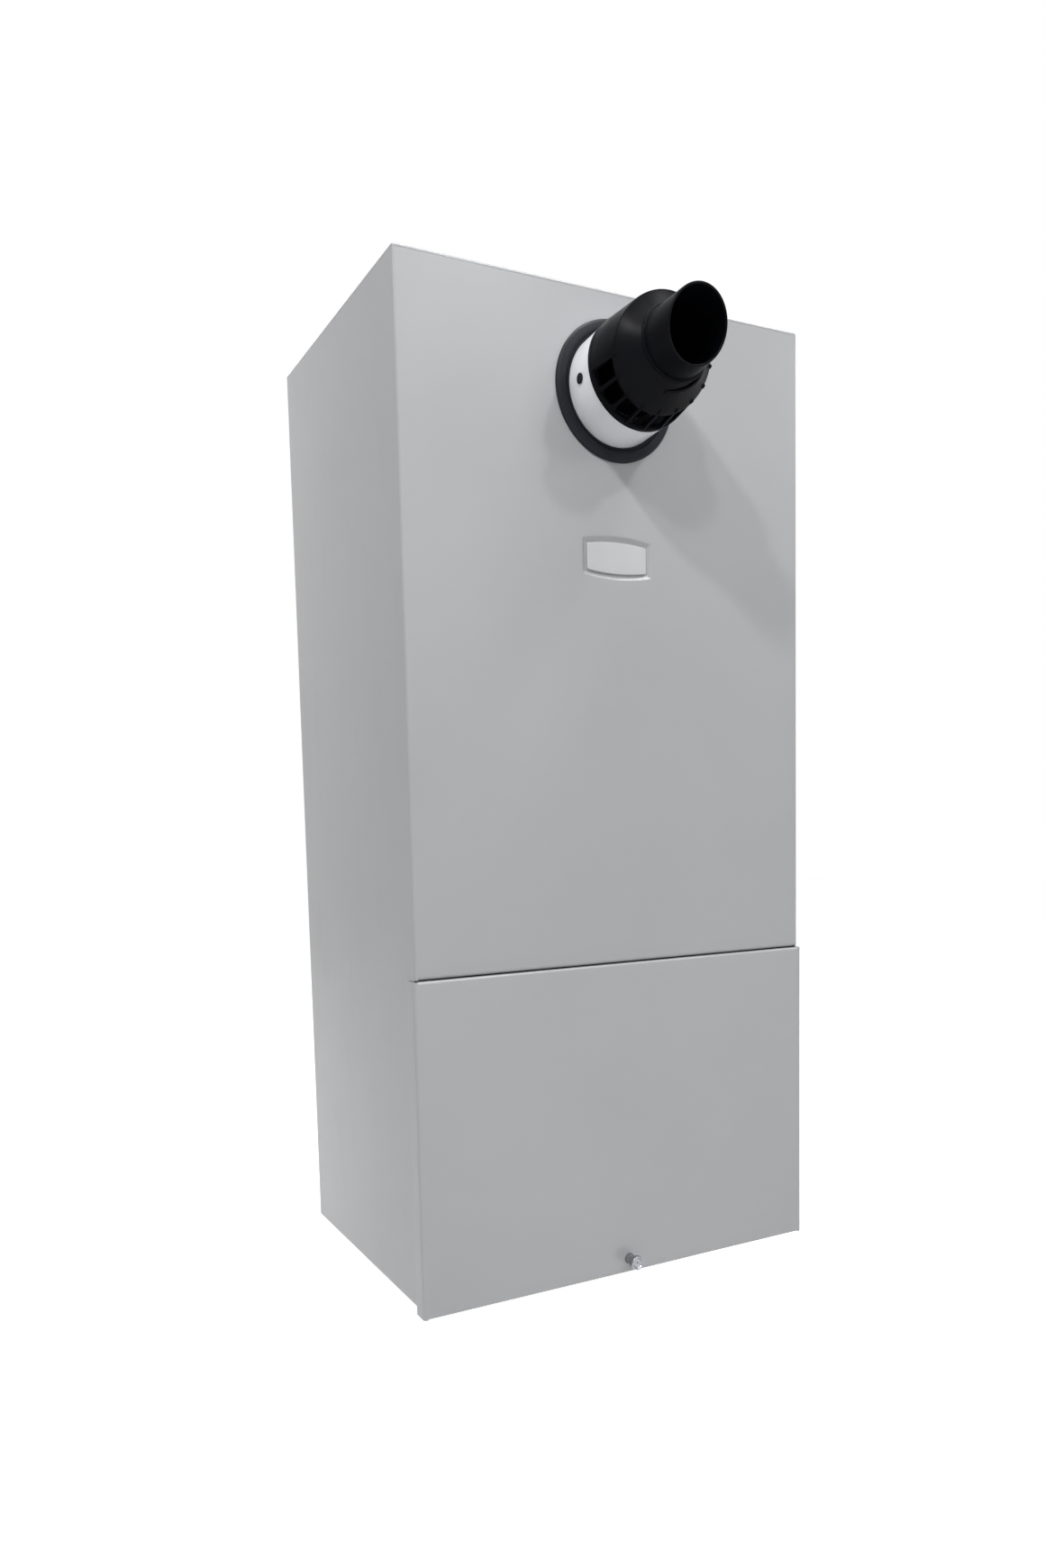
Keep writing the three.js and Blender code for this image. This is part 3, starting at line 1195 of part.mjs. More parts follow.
// Isolating cock, from the rail's top face: tail and nut below, collar, ball and union above
function isolatingCock() {
  const { tail, tailEnd, bore, boreDepth, nut, nutDepth, collar, ball, waist, ballRise, neckRise, union } = cock;
  const { boss, bossReach, stemHole, stemDepth } = cock;
  const { sheet, neck } = pipeRail;
  const ballTop = collar + ballRise;
  const bulge = turned([
    [0, collar], [waist, collar], [ball, collar + ballRise / 4], [ball, ballTop - ballRise / 4],
    [waist, ballTop], [0, ballTop],
  ], facets.pipe);
  const body = join(
    rod(tail, tailEnd, facets.pipe).translate(0, 0, -tailEnd),
    rod(neck, sheet + nutDepth).translate(0, 0, -sheet - nutDepth),
    rod(nut, nutDepth, facets.hex).translate(0, 0, -sheet - nutDepth),
    rod(nut, collar, facets.hex),
    bulge,
    rod(tail, neckRise, facets.pipe).translate(0, 0, ballTop),
    rod(nut, union, facets.hex).translate(0, 0, ballTop + neckRise),
    toFront(rod(boss, bossReach)).translate(0, 0, collar + ballRise / 2),
  );
  return cut(
    body,
    rod(bore, boreDepth + fit.overrun).translate(0, 0, -tailEnd - fit.overrun),
    toRear(rod(stemHole, stemDepth + fit.overrun)).translate(0, -bossReach - fit.overrun, collar + ballRise / 2),
  );
}

// Butterfly handle on the cock's stem. It stands in line with the pipe when the cock is open.
function cockHandle() {
  const { half, width, corner, thickness, hub, stem, stemReach } = handle;
  const wings = prism(roundedBox([-width / 2, width / 2], [-half, half], corner), thickness);
  return join(wings, rod(hub, thickness, facets.small), rod(stem, stemReach + thickness / 2).translate(0, 0, -stemReach));
}

// Control box: a tray open to the front, carried in the casing's sides by pins
const boxTop = box.low + box.height;
const boxRear = box.front - box.depth;
const boardLeft = board.inset - box.half;
const boardLow = box.low + board.rise;

function controlBox() {
  const { half, low, front, wall, pin, pinHeight, pinInset, post, postReach, ear } = box;
  const high = boxTop;
  const rear = boxRear;
  const shell = block([-half, half], [-front, -rear], [low, high]);
  const hollow = block([-half + wall, half - wall], [-front - fit.overrun, -rear - wall], [low + wall, high - wall]);
  const pinEnd = halfWidth - casing.sheet - fit.gap;
  const pins = [low + pinHeight, high - ear].flatMap((z) => [-1, 1].map((way) => toRight(rod(pin, pinEnd - half + wall / 2))
    .translate(way > 0 ? half - wall / 2 : -pinEnd, -rear - pinInset, z)));
  const columns = [boardLeft + ear, boardLeft + board.width - ear];
  const posts = columns.flatMap((x) => [boardLow + ear, boardLow + board.height - ear].map((z) => (
    toFront(rod(post, postReach + wall / 2)).translate(x, -rear - wall / 2, z))));
  return join(cut(shell, hollow), ...pins, ...posts);
}

const fasciaFront = box.front + fascia.thickness;
const onFascia = (side, forward) => [side, -fasciaFront - forward, fascia.row];

function controlFascia() {
  const { half, low } = box;
  const plate = toFront(prism(roundedBox([-half, half], [low, boxTop], fascia.corner), fascia.thickness))
    .translate(0, -box.front, 0);
  const hole = (radius, x) => toFront(rod(radius, fascia.thickness + 2 * fit.overrun, facets.round))
    .translate(x, -box.front + fit.overrun, fascia.row);
  return cut(
    plate,
    hole(knob.shaft + fit.running, knob.heating), hole(knob.shaft + fit.running, knob.water),
    hole(reset.radius + fit.running, reset.side), hole(gauge.body + fit.gap, gauge.side),
  );
}

// Control board with its relays, transformer and terminals
function circuitBoard() {
  const rear = boxRear + box.wall + box.postReach;
  const front = rear + board.thickness;
  const sheet = block([0, board.width], [-front, -rear], [0, board.height]);
  const parts = boardParts.map(({ along, up, wide, tall, deep }) => block(
    [along - wide / 2, along + wide / 2], [-front - deep, -rear - board.thickness / 2],
    [up - tall / 2, up + tall / 2],
  ));
  return join(sheet, ...parts);
}

// Control knob: a skirt, a fluted grip, a pointer and its shaft through the fascia
function controlKnob() {
  const { radius, depth, skirt, skirtDepth, shaft, shaftReach, pointer, pointerWidth, grips, grip } = knob;
  return join(
    rod(skirt, skirtDepth, facets.pipe),
    scalloped(radius, depth, grips, grip),
    block([-pointerWidth / 2, pointerWidth / 2], [0, radius - grip], [depth - pointer, depth + pointer / 2]),
    rod(shaft, shaftReach + skirtDepth).translate(0, 0, -shaftReach),
  );
}

function resetButton() {
  const { radius, rise, stemReach, flange, flangeDepth } = reset;
  const seat = -fascia.thickness - fit.gap;
  return turned([
    [0, seat - flangeDepth - stemReach], [radius / 2, seat - flangeDepth - stemReach], [radius / 2, seat - flangeDepth],
    [flange, seat - flangeDepth], [flange, seat], [radius, seat], [radius, rise - fit.overrun],
    [radius - fit.overrun, rise], [0, rise],
  ], facets.pipe);
}

function pressureGauge() {
  const { body, bezel, bezelDepth, bodyReach, cup, cupDepth, pin, pinRise } = gauge;
  const floor = bezelDepth - cupDepth;
  return turned([
    [0, -bodyReach], [body, -bodyReach], [body, 0], [bezel, 0], [bezel, bezelDepth - fit.overrun],
    [bezel - fit.overrun, bezelDepth], [cup, bezelDepth], [cup, floor], [pin, floor], [pin, floor + pinRise],
    [0, floor + pinRise],
  ]);
}

function gaugeNeedle() {
  const { pin, needleWidth, needleTip, needleTail, needleDepth, needleHub } = gauge;
  const pointer = new THREE.Shape([
    new THREE.Vector2(-needleWidth, -needleTail), new THREE.Vector2(needleWidth, -needleTail),
    new THREE.Vector2(needleWidth / 3, needleTip), new THREE.Vector2(-needleWidth / 3, needleTip),
  ]);
  const hub = rod(needleHub, needleDepth);
  const bore = rod(pin + fit.gap, 3 * needleDepth, facets.round).translate(0, 0, -needleDepth);
  return cut(join(prism(pointer, needleDepth), hub), bore);
}

const coverPlane = [0, -casing.depth, coverScrew.height];
const casingPieces = group([
  piece("casing_wrap", casingWrap(), "casing_paint"),
  piece("top_panel", topPanel(), "casing_paint"),
  piece("bottom_panel", bottomPanel(), "casing_paint"),
  piece("back_panel", rearPanel(), "galvanised_steel"),
  piece("wall_bracket", wallBracket(), "galvanised_steel", [0, 0, bracket.height]),
  piece("hanging_rail", hangingRail(), "galvanised_steel", [0, 0, bracket.height]),
  piece("front_cover", frontCover(), "casing_paint"),
  piece("screw_ferrule", toFront(screwFerrule()), "zinc_plate", coverPlane),
  piece("cover_screw", toFront(captiveScrew()), "zinc_plate", coverPlane),
  piece("clinch_nut", toFront(clinchNut()), "zinc_plate", coverPlane),
  piece("badge_plate", toFront(badgePlate()), "badge_plastic", [
    0, -casing.depth + badge.recessDepth - fit.gap, badgeHeight,
  ]),
  piece("cable_gland", cableGland(), "black_plastic", [gland.side, -gland.depth, 0]),
  piece("pipe_rail", clampRail(), "galvanised_steel"),
]);

const fluePieces = group([
  piece("air_duct", airDuct(), "duct_enamel"),
  piece("sampling_plug", samplingPlug(), "seal_rubber"),
  piece("terminal_cage", terminalCage(), "terminal_plastic"),
  piece("exhaust_nozzle", exhaustNozzle(), "terminal_plastic"),
  piece("inner_flue_pipe", innerFluePipe(), "stainless_steel"),
], [0, -casing.depth, flue.height]);
fluePieces.rotation.x = Math.PI / 2 - flue.tilt;

const flueEnds = group([
  piece("flue_seal_ring", toFront(flueSealRing()), "seal_rubber", [0, -casing.depth, flue.height]),
  piece("flue_elbow", flueElbow(), "grey_plastic"),
]);

// The heat exchanger's pieces share the drum's frame, +Z to the front and +Y up
const enginePieces = group([
  piece("exchanger_shell", exchangerShell(), "stainless_steel"),
  piece("exchanger_coil", exchangerCoil(), "stainless_steel"),
  piece("burner_gasket", burnerGasket(), "fibre_gasket"),
  piece("burner_tube", burnerTube(), "stainless_steel"),
  piece("burner_door", burnerDoor(), "cast_aluminium"),
  piece("ignition_electrode", ignitionElectrode(), "ceramic"),
], [0, -drum.rear, drum.height]);
enginePieces.rotation.x = Math.PI / 2;

// The fan's pieces share the housing's frame, +Z to the front and +Y up
const fanPieces = group([
  piece("fan_housing", fanHousing(), "cast_aluminium"),
  piece("fan_impeller", fanImpeller(), "cast_aluminium"),
  piece("fan_motor", fanMotor(), "motor_paint", [0, 0, fan.depth]),
  piece("venturi", gasMixer().rotateX(Math.PI), "grey_plastic", [0, 0, -fit.gap]),
], [fanSide, -fan.rear, fan.height]);
fanPieces.rotation.x = Math.PI / 2;

const gasPieces = group([
  piece("exchanger_bracket", exchangerBracket(), "galvanised_steel"),
  piece("mixing_duct", mixingDuct(), "cast_aluminium"),
  piece("gas_valve", gasValveBlock(), "cast_aluminium"),
  piece("gas_pipe", gasPipe(), "copper"),
]);

const ventHeight = drum.height + stubs.flowRise + pipe.radius + fit.gap;
const waterPieces = group([
  piece("expansion_vessel", expansionVessel(), "vessel_paint", [-vesselSide, -vesselDepth, vessel.height]),
  piece("vessel_hose", vesselHose(), "braided_hose"),
  piece("flow_pipe", flowPipe(), "copper"),
  piece("air_vent", airVent(), "brass", [vent.side, -flowDepth, ventHeight]),
  piece("return_pipe", returnPipe(), "copper"),
  piece("return_manifold", returnManifold(), "brass", [pipeRow.ret, -pipeRow.depth, manifoldLow]),
  piece("pump_body", pumpBody(), "cast_aluminium", [pipeRow.ret, -pipeRow.depth, pumpHeight]),
  piece("pump_motor", toFront(pumpMotor()), "motor_paint", [
    pipeRow.ret, -pipeRow.depth - pump.half, pumpHeight,
  ]),
  piece("relief_valve", reliefValve(), "brass", [pipeRow.relief, -pipeRow.depth, relief.height]),
  piece("relief_knob", toFront(reliefKnob()), "red_plastic", [
    pipeRow.relief, -pipeRow.depth - relief.front - fit.gap, relief.height,
  ]),
  piece("condensate_trap", condensateTrap(), "trap_plastic", [pipeRow.condensate, -pipeRow.depth, 0]),
  piece("trap_hose", condensateHose(), "black_plastic"),
]);

const stemHeight = railTop + cock.collar + cock.ballRise / 2;
const cocks = [
  { name: "gas", side: pipeRow.gas, finish: "yellow_plastic" },
  { name: "return", side: pipeRow.ret, finish: "blue_plastic" },
  { name: "flow", side: pipeRow.flow, finish: "red_plastic" },
];
const cockPieces = group(cocks.flatMap(({ name, side, finish }) => [
  piece(`${name}_cock`, isolatingCock(), "brass", [side, -pipeRow.depth, railTop]),
  piece(`${name}_handle`, toFront(cockHandle()), finish, [
    side, -pipeRow.depth - cock.bossReach - fit.gap, stemHeight,
  ]),
]));

const controlPieces = group([
  piece("control_box", controlBox(), "grey_plastic"),
  piece("control_fascia", controlFascia(), "black_plastic"),
  piece("circuit_board", circuitBoard(), "circuit_green", [boardLeft, 0, boardLow]),
  piece("heating_knob", toFront(controlKnob()), "grey_plastic", onFascia(knob.heating, fit.gap)),
  piece("water_knob", toFront(controlKnob()), "grey_plastic", onFascia(knob.water, fit.gap)),
  piece("reset_button", toFront(resetButton()), "red_plastic", onFascia(reset.side, 0)),
  piece("pressure_gauge", toFront(pressureGauge()), "gauge_face", onFascia(gauge.side, 0)),
  piece("gauge_needle", toFront(gaugeNeedle()), "red_plastic", onFascia(
    gauge.side, gauge.bezelDepth - gauge.cupDepth + fit.gap,
  )),
]);

const root = new THREE.Group();
root.add(
  casingPieces, fluePieces, flueEnds, enginePieces, fanPieces, gasPieces, waterPieces, cockPieces, controlPieces,
);
root.position.set(0, 0, -bracket.height);
export default root;
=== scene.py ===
import math

import bmesh
import bpy
from mathutils import Matrix, Vector


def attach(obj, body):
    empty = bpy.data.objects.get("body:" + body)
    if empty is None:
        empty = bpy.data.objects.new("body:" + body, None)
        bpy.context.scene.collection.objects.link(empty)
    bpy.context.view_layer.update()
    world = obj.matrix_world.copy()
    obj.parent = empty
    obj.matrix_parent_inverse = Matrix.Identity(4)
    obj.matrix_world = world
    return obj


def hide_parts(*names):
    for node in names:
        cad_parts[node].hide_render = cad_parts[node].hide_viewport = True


# An outdoor gas boiler: the finished casing, flue, works and controls over the fixed frame.
# Sizes are millimetres from the casing's bottom, with the wall at depth 0 and the front at -305.
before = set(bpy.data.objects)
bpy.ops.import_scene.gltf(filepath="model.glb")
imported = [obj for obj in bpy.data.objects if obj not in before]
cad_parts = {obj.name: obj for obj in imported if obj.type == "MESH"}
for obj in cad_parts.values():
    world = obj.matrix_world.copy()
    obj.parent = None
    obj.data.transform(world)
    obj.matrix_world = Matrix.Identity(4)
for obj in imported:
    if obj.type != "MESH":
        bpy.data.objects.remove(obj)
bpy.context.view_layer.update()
scene = bpy.context.scene

BRACKET_HEIGHT = 820
MILLIMETRE = 0.001
CASING = dict(half=215, depth=305, height=912, sheet=1.2, bend=3, flange=15, strip=15, lip=12, lip_rise=10,
              notch=8, notch_half=16)
LID = dict(rim=3, hem=8, flange=15, gap=0.08)
COVER = dict(top=299, low=-5, proud=2.5, side=14, edge=26, seam=300.3, bend=2.3)
SCREW = dict(height=9, barrel=4.8, barrel_end=13.5, head=6.8, flange=6.2, shank=2.5, reach=24, recess=4,
             recess_deep=2.4)
BADGE = dict(height=676, width=64, side=23.6, middle=28.4, seat=74, seat_side=31, seat_middle=38, seat_edge=5,
             deep=2.6)
FLUE = dict(height=824, tilt=math.radians(5), duct=50, pipe=30, wall=1.2, seal=62.7, hole=55.5)
PIPE_ROW = dict(depth=120, gas=-120, condensate=-40, relief=60, ret=130, flow=185)
CONTROLS = dict(row=215, face=287, heating=-40, water=-105, button=30, gauge=110, scale=26,
                half=190, low=140, high=285, thick=3, inset=10)

MODEL = Matrix.Diagonal((MILLIMETRE, MILLIMETRE, MILLIMETRE, 1)) @ Matrix.Translation((0, 0, -BRACKET_HEIGHT))


def place(x=0, y=0, z=0):
    return Matrix.Translation((x, y, z))


def turn(degrees, axis):
    return Matrix.Rotation(math.radians(degrees), 4, axis)


TO_FRONT = turn(90, "X")
TO_RIGHT = turn(90, "Y")
TO_LEFT = turn(-90, "Y")
TO_BELOW = turn(180, "X")
ON_FLUE = place(0, -CASING["depth"], FLUE["height"]) @ Matrix.Rotation(math.pi / 2 - FLUE["tilt"], 4, "X")


def on_front(height, forward=0):
    """A place on the middle of the casing's front, facing out."""
    return place(0, -CASING["depth"] - forward, height) @ TO_FRONT


def in_row(side, height, forward=0):
    """An upright place in the row of pipes."""
    return place(side, -PIPE_ROW["depth"] - forward, height)


def on_panel(side, forward=0):
    """A place on the control panel's face, level with its knobs, facing out."""
    return place(side, -CONTROLS["face"] - forward, CONTROLS["row"]) @ TO_FRONT


# Shells: lists of points and faces in millimetres, joined into one mesh for each piece
def moved(shell, matrix):
    points, faces = shell
    return [matrix @ Vector(p) for p in points], faces


def together(*shells):
    points, faces = [], []
    for more_points, more_faces in shells:
        start = len(points)
        points.extend(more_points)
        faces.extend([tuple(start + i for i in face) for face in more_faces])
    return points, faces


def loft(rings, closed=False):
    """Skin over rings of equal point count. The ends are capped, or the last ring meets the first."""
    count = len(rings[0])
    points = [Vector(p) for ring in rings for p in ring]
    faces = []
    spans = len(rings) if closed else len(rings) - 1
    for r in range(spans):
        low = r * count
        high = ((r + 1) % len(rings)) * count
        for i in range(count):
            j = (i + 1) % count
            faces.append((low + i, low + j, high + j, high + i))
    if not closed:
        faces.append(tuple(range(count))[::-1])
        faces.append(tuple((len(rings) - 1) * count + i for i in range(count)))
    return points, faces


EASE_STEPS = 4
SIDE_SHARE = 0.45
NEARLY_STRAIGHT = math.radians(168)


def eased(profile, radius):
    """The profile with its corners rounded. A corner may carry its own radius as a third value."""
    loop = tuple(profile[0][:2]) == tuple(profile[-1][:2])
    corners = profile[:-1] if loop else profile
    out = []
    for i, corner in enumerate(corners):
        here = Vector(corner[:2])
        if not loop and i in (0, len(corners) - 1):
            out.append(tuple(here))
            continue
        before = Vector(corners[i - 1][:2])
        after = Vector(corners[(i + 1) % len(corners)][:2])
        back = before - here
        ahead = after - here
        wanted = corner[2] if len(corner) > 2 else radius
        room = min(wanted, SIDE_SHARE * back.length, SIDE_SHARE * ahead.length)
        straight = min(back.length, ahead.length) < 1e-6 or back.angle(ahead) > NEARLY_STRAIGHT
        if straight or room < 0.01:
            out.append(tuple(here))
            continue
        start = here + back.normalized() * room
        end = here + ahead.normalized() * room
        for k in range(EASE_STEPS + 1):
            t = k / EASE_STEPS
            out.append(tuple((1 - t) ** 2 * start + 2 * t * (1 - t) * here + t * t * end))
    if loop:
        out.append(out[0])
    return out


def turned(profile, soft=0.5, steps=72):
    """A turned form about Z from radius and height pairs, with eased corners and closed poles."""
    path = eased(profile, soft)
    loop = path[0] == path[-1]
    if loop:
        path = path[:-1]
    points, faces, rows = [], [], []
    for radius, height in path:
        if radius < 1e-6:
            points.append(Vector((0, 0, height)))
            rows.append([len(points) - 1] * steps)
            continue
        first = len(points)
        for i in range(steps):
            angle = 2 * math.pi * i / steps
            points.append(Vector((radius * math.cos(angle), radius * math.sin(angle), height)))
        rows.append(list(range(first, first + steps)))
    pairs = list(zip(rows, rows[1:])) + ([(rows[-1], rows[0])] if loop else [])
    for low, high in pairs:
        for i in range(steps):
            j = (i + 1) % steps
            face = list(dict.fromkeys((low[i], low[j], high[j], high[i])))
            if len(face) > 2:
                faces.append(tuple(face))
    return points, faces


def rod(radius, length, soft=0.5, steps=48):
    return turned([(0, 0), (radius, 0), (radius, length), (0, length)], soft, steps)


def tube(outer, inner, low, high, soft=0.4, steps=96):
    return turned([(inner, low), (outer, low), (outer, high), (inner, high), (inner, low)], soft, steps)


def nut(reach, depth):
    """A hexagon with its corners turned off, as on a brass union. The reach is to its corners."""
    soft, half_corner = 0.6, 0.06
    rings = []
    for height, share in ((0, 0.93), (soft, 0.995), (depth - soft, 0.995), (depth, 0.93)):
        ring = []
        for k in range(6):
            for step in (-half_corner, half_corner):
                angle = math.pi / 3 * k + step
                ring.append((share * reach * math.cos(angle), share * reach * math.sin(angle), height))
        rings.append(ring)
    return loft(rings)


def slab(low, high, soft=0.4):
    """A block between two corners, with its edges eased all round."""
    (x0, y0, z0), (x1, y1, z1) = low, high
    soft = min(soft, 0.3 * (x1 - x0), 0.3 * (y1 - y0), 0.3 * (z1 - z0))
    widest = SIDE_SHARE * min(x1 - x0, y1 - y0)

    def ring(inset, z):
        radius = min(max(soft * 1.6 - inset, 0.02), widest)
        outline = rounded(x0 + inset, x1 - inset, y0 + inset, y1 - inset, radius, 3)
        return [(x, y, z) for x, y in outline]

    steps = ((soft, 0), (0.3 * soft, 0.3 * soft), (0, soft))
    below = [ring(inset, z0 + rise) for inset, rise in steps]
    above = [ring(inset, z1 - rise) for inset, rise in reversed(steps)]
    return loft(below + above)


def rounded(x0, x1, y0, y1, radius, steps=6):
    points = []
    for cx, cy, start in ((x1, y1, 0), (x0, y1, 90), (x0, y0, 180), (x1, y0, 270)):
        for k in range(steps + 1):
            angle = math.radians(start + 90 * k / steps)
            x = cx + radius * (math.cos(angle) - (1 if cx == x1 else -1))
            y = cy + radius * (math.sin(angle) - (1 if cy == y1 else -1))
            points.append((x, y))
    return points


def prism(outline, depth, soft=0.0):
    """An outline run up Z, with eased top and bottom edges where soft is given on a convex outline."""
    if not soft:
        return loft([[(x, y, z) for x, y in outline] for z in (0, depth)])
    middle = sum((Vector(p) for p in outline), Vector((0, 0))) / len(outline)
    near = 0.3 * soft
    rings = []
    levels = ((0, soft), (near, near), (soft, 0), (depth - soft, 0), (depth - near, near), (depth, soft))
    for z, inset in levels:
        ring = []
        for p in outline:
            away = Vector(p) - middle
            held = away.normalized() * min(inset, 0.4 * away.length)
            ring.append((p[0] - held.x, p[1] - held.y, z))
        rings.append(ring)
    return loft(rings)


def folded(corners, bend=CASING["bend"]):
    """The outline of a folded sheet. The corners lie on one face and the sheet is on their left."""
    sheet, steps = CASING["sheet"], 6
    face, back = [], []
    at = [Vector(c) for c in corners]
    for i, here in enumerate(at):
        into = (here - at[i - 1]).normalized() if i > 0 else None
        out = (at[i + 1] - here).normalized() if i < len(at) - 1 else None
        along = into or out
        left = Vector((-along.y, along.x))
        if into is None or out is None:
            face.append(here)
            back.append(here + left * sheet)
            continue
        sweep = math.atan2(into.x * out.y - into.y * out.x, into.dot(out))
        side = 1 if sweep > 0 else -1
        face_radius = bend if side > 0 else bend - sheet
        back_radius = bend - sheet if side > 0 else bend
        setback = face_radius * math.tan(abs(sweep) / 2)
        centre = here - into * setback + left * side * face_radius
        for k in range(steps + 1):
            angle = sweep * k / steps
            spoke = Matrix.Rotation(angle, 2) @ (left * -side)
            face.append(centre + spoke * face_radius)
            back.append(centre + spoke * back_radius)
    return [tuple(p) for p in face + back[::-1]]


ACROSS = Matrix(((0, 0, 1, 0), (1, 0, 0, 0), (0, 1, 0, 0), (0, 0, 0, 1)))


def across(outline, width):
    """A profile drawn in depth and height, run along X about the middle."""
    return moved(prism(outline, width), ACROSS @ place(0, 0, -width / 2))


PIPE_SIDES = 32
BEND_STEPS = 8


def pipe_run(corners, bend, radius):
    """A round pipe through corners with one bend radius, closed at its ends."""
    at = [Vector(c) for c in corners]
    line = [(at[0], (at[1] - at[0]).normalized())]
    for i in range(1, len(at) - 1):
        into = (at[i] - at[i - 1]).normalized()
        out = (at[i + 1] - at[i]).normalized()
        sweep = into.angle(out)
        axis = into.cross(out).normalized()
        inward = axis.cross(into)
        centre = at[i] - into * bend * math.tan(sweep / 2) + inward * bend
        for k in range(BEND_STEPS + 1):
            swing = Matrix.Rotation(sweep * k / BEND_STEPS, 3, axis)
            line.append((centre - (swing @ inward) * bend, swing @ into))
    line.append((at[-1], (at[-1] - at[-2]).normalized()))
    normal = line[0][1].orthogonal().normalized()
    rings = []
    for k, (point, tangent) in enumerate(line):
        if k:
            normal = line[k - 1][1].rotation_difference(tangent) @ normal
        beside = tangent.cross(normal)
        angles = (2 * math.pi * i / PIPE_SIDES for i in range(PIPE_SIDES))
        rings.append([point + (normal * math.cos(a) + beside * math.sin(a)) * radius for a in angles])
    return loft(rings)


# Meshes and pieces
def mesh_of(name, shell, tidy=True):
    points, faces = shell
    mesh = bpy.data.meshes.new(name)
    mesh.from_pydata([tuple(p) for p in points], [], faces)
    work = bmesh.new()
    work.from_mesh(mesh)
    if tidy:
        bmesh.ops.remove_doubles(work, verts=work.verts, dist=1e-4)
        bmesh.ops.dissolve_degenerate(work, edges=work.edges, dist=1e-5)
    bmesh.ops.recalc_face_normals(work, faces=work.faces)
    work.to_mesh(mesh)
    work.free()
    return mesh


def shade(mesh, degrees):
    mesh.shade_smooth()
    mesh.set_sharp_from_angle(angle=math.radians(degrees))


def fixed_copy(obj):
    """The object with its modifiers made into a plain mesh."""
    bpy.context.view_layer.update()
    evaluated = obj.evaluated_get(bpy.context.evaluated_depsgraph_get())
    mesh = bpy.data.meshes.new_from_object(evaluated)
    obj.modifiers.clear()
    obj.data = mesh
    return mesh


def object_of(name, mesh):
    obj = bpy.data.objects.new(name, mesh)
    scene.collection.objects.link(obj)
    return obj


def scrap(obj):
    bpy.data.objects.remove(obj, do_unlink=True)


def carved(shell, *cutters):
    """The shell with the cutters taken away, both given as shells in millimetres."""
    body = object_of("carved", mesh_of("carved", shell))
    for cutter in cutters:
        tool = object_of("cutter", mesh_of("cutter", cutter))
        cut = body.modifiers.new("cut", "BOOLEAN")
        cut.operation = "DIFFERENCE"
        cut.solver = "EXACT"
        cut.object = tool
        fixed_copy(body)
        scrap(tool)
    result = shell_of(body.data)
    scrap(body)
    return result


def shell_of(mesh):
    return [v.co.copy() for v in mesh.vertices], [tuple(p.vertices) for p in mesh.polygons]


def piece(name, shell, finish, body="boiler", stands_for=(), angle=32):
    """A finished piece from one shell, with its place in its mesh."""
    mesh = mesh_of(name, moved(shell, MODEL), tidy=False)
    mesh.materials.append(finish)
    shade(mesh, angle)
    obj = object_of(name, mesh)
    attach(obj, body)
    if stands_for:
        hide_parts(*stands_for)


# Node trees, for copies and for finishes
class Graph:
    """A node tree with short ways to add and wire its nodes."""

    def __init__(self, tree):
        self.tree = tree

    def add(self, kind, wires=None, **settings):
        node = self.tree.nodes.new(kind)
        for key, value in settings.items():
            setattr(node, key, value)
        for name, value in (wires or {}).items():
            self.wire(node.inputs[name], value)
        return node

    def wire(self, entry, value):
        if isinstance(value, bpy.types.NodeSocket):
            self.tree.links.new(value, entry)
        else:
            entry.default_value = value

    def noise(self, vector, scale, detail=2.0, rough=0.5):
        wires = {"Vector": vector, "Scale": scale, "Detail": detail, "Roughness": rough}
        return self.add("ShaderNodeTexNoise", wires).outputs["Fac"]

    def cells(self, vector, scale, out="Distance"):
        return self.add("ShaderNodeTexVoronoi", {"Vector": vector, "Scale": scale}).outputs[out]

    def range(self, value, low, high, to_low=0.0, to_high=1.0):
        wires = {"Value": value, "From Min": low, "From Max": high, "To Min": to_low, "To Max": to_high}
        return self.add("ShaderNodeMapRange", wires).outputs["Result"]

    def math(self, operation, a, b=0.0):
        node = self.add("ShaderNodeMath", operation=operation)
        self.wire(node.inputs[0], a)
        self.wire(node.inputs[1], b)
        return node.outputs["Value"]

    def mix(self, share, a, b):
        node = self.add("ShaderNodeMix", data_type="RGBA")
        for key, value in (("Factor_Float", share), ("A_Color", a), ("B_Color", b)):
            entry = next(s for s in node.inputs if s.identifier == key)
            self.wire(entry, value)
        return next(s for s in node.outputs if s.identifier == "Result_Color")

    def scaled(self, vector, scale):
        wires = {"Vector": vector, "Scale": scale}
        return self.add("ShaderNodeMapping", wires).outputs["Vector"]


KINDS = {"V": "Vector", "C": "Color", "F": "Float", "G": "Geometry", "O": "Object", "I": "Int",
         "M": "Material"}


def group(name, sort, entries, exits):
    """A node group with named inputs and outputs, each with a letter for its kind."""
    tree = bpy.data.node_groups.new(name, sort)
    for way, labels in (("INPUT", entries), ("OUTPUT", exits)):
        for label, kind in labels:
            tree.interface.new_socket(name=label, in_out=way, socket_type="NodeSocket" + KINDS[kind])
    g = Graph(tree)
    g.entry = g.add("NodeGroupInput").outputs
    g.leave = g.add("NodeGroupOutput").inputs
    return g


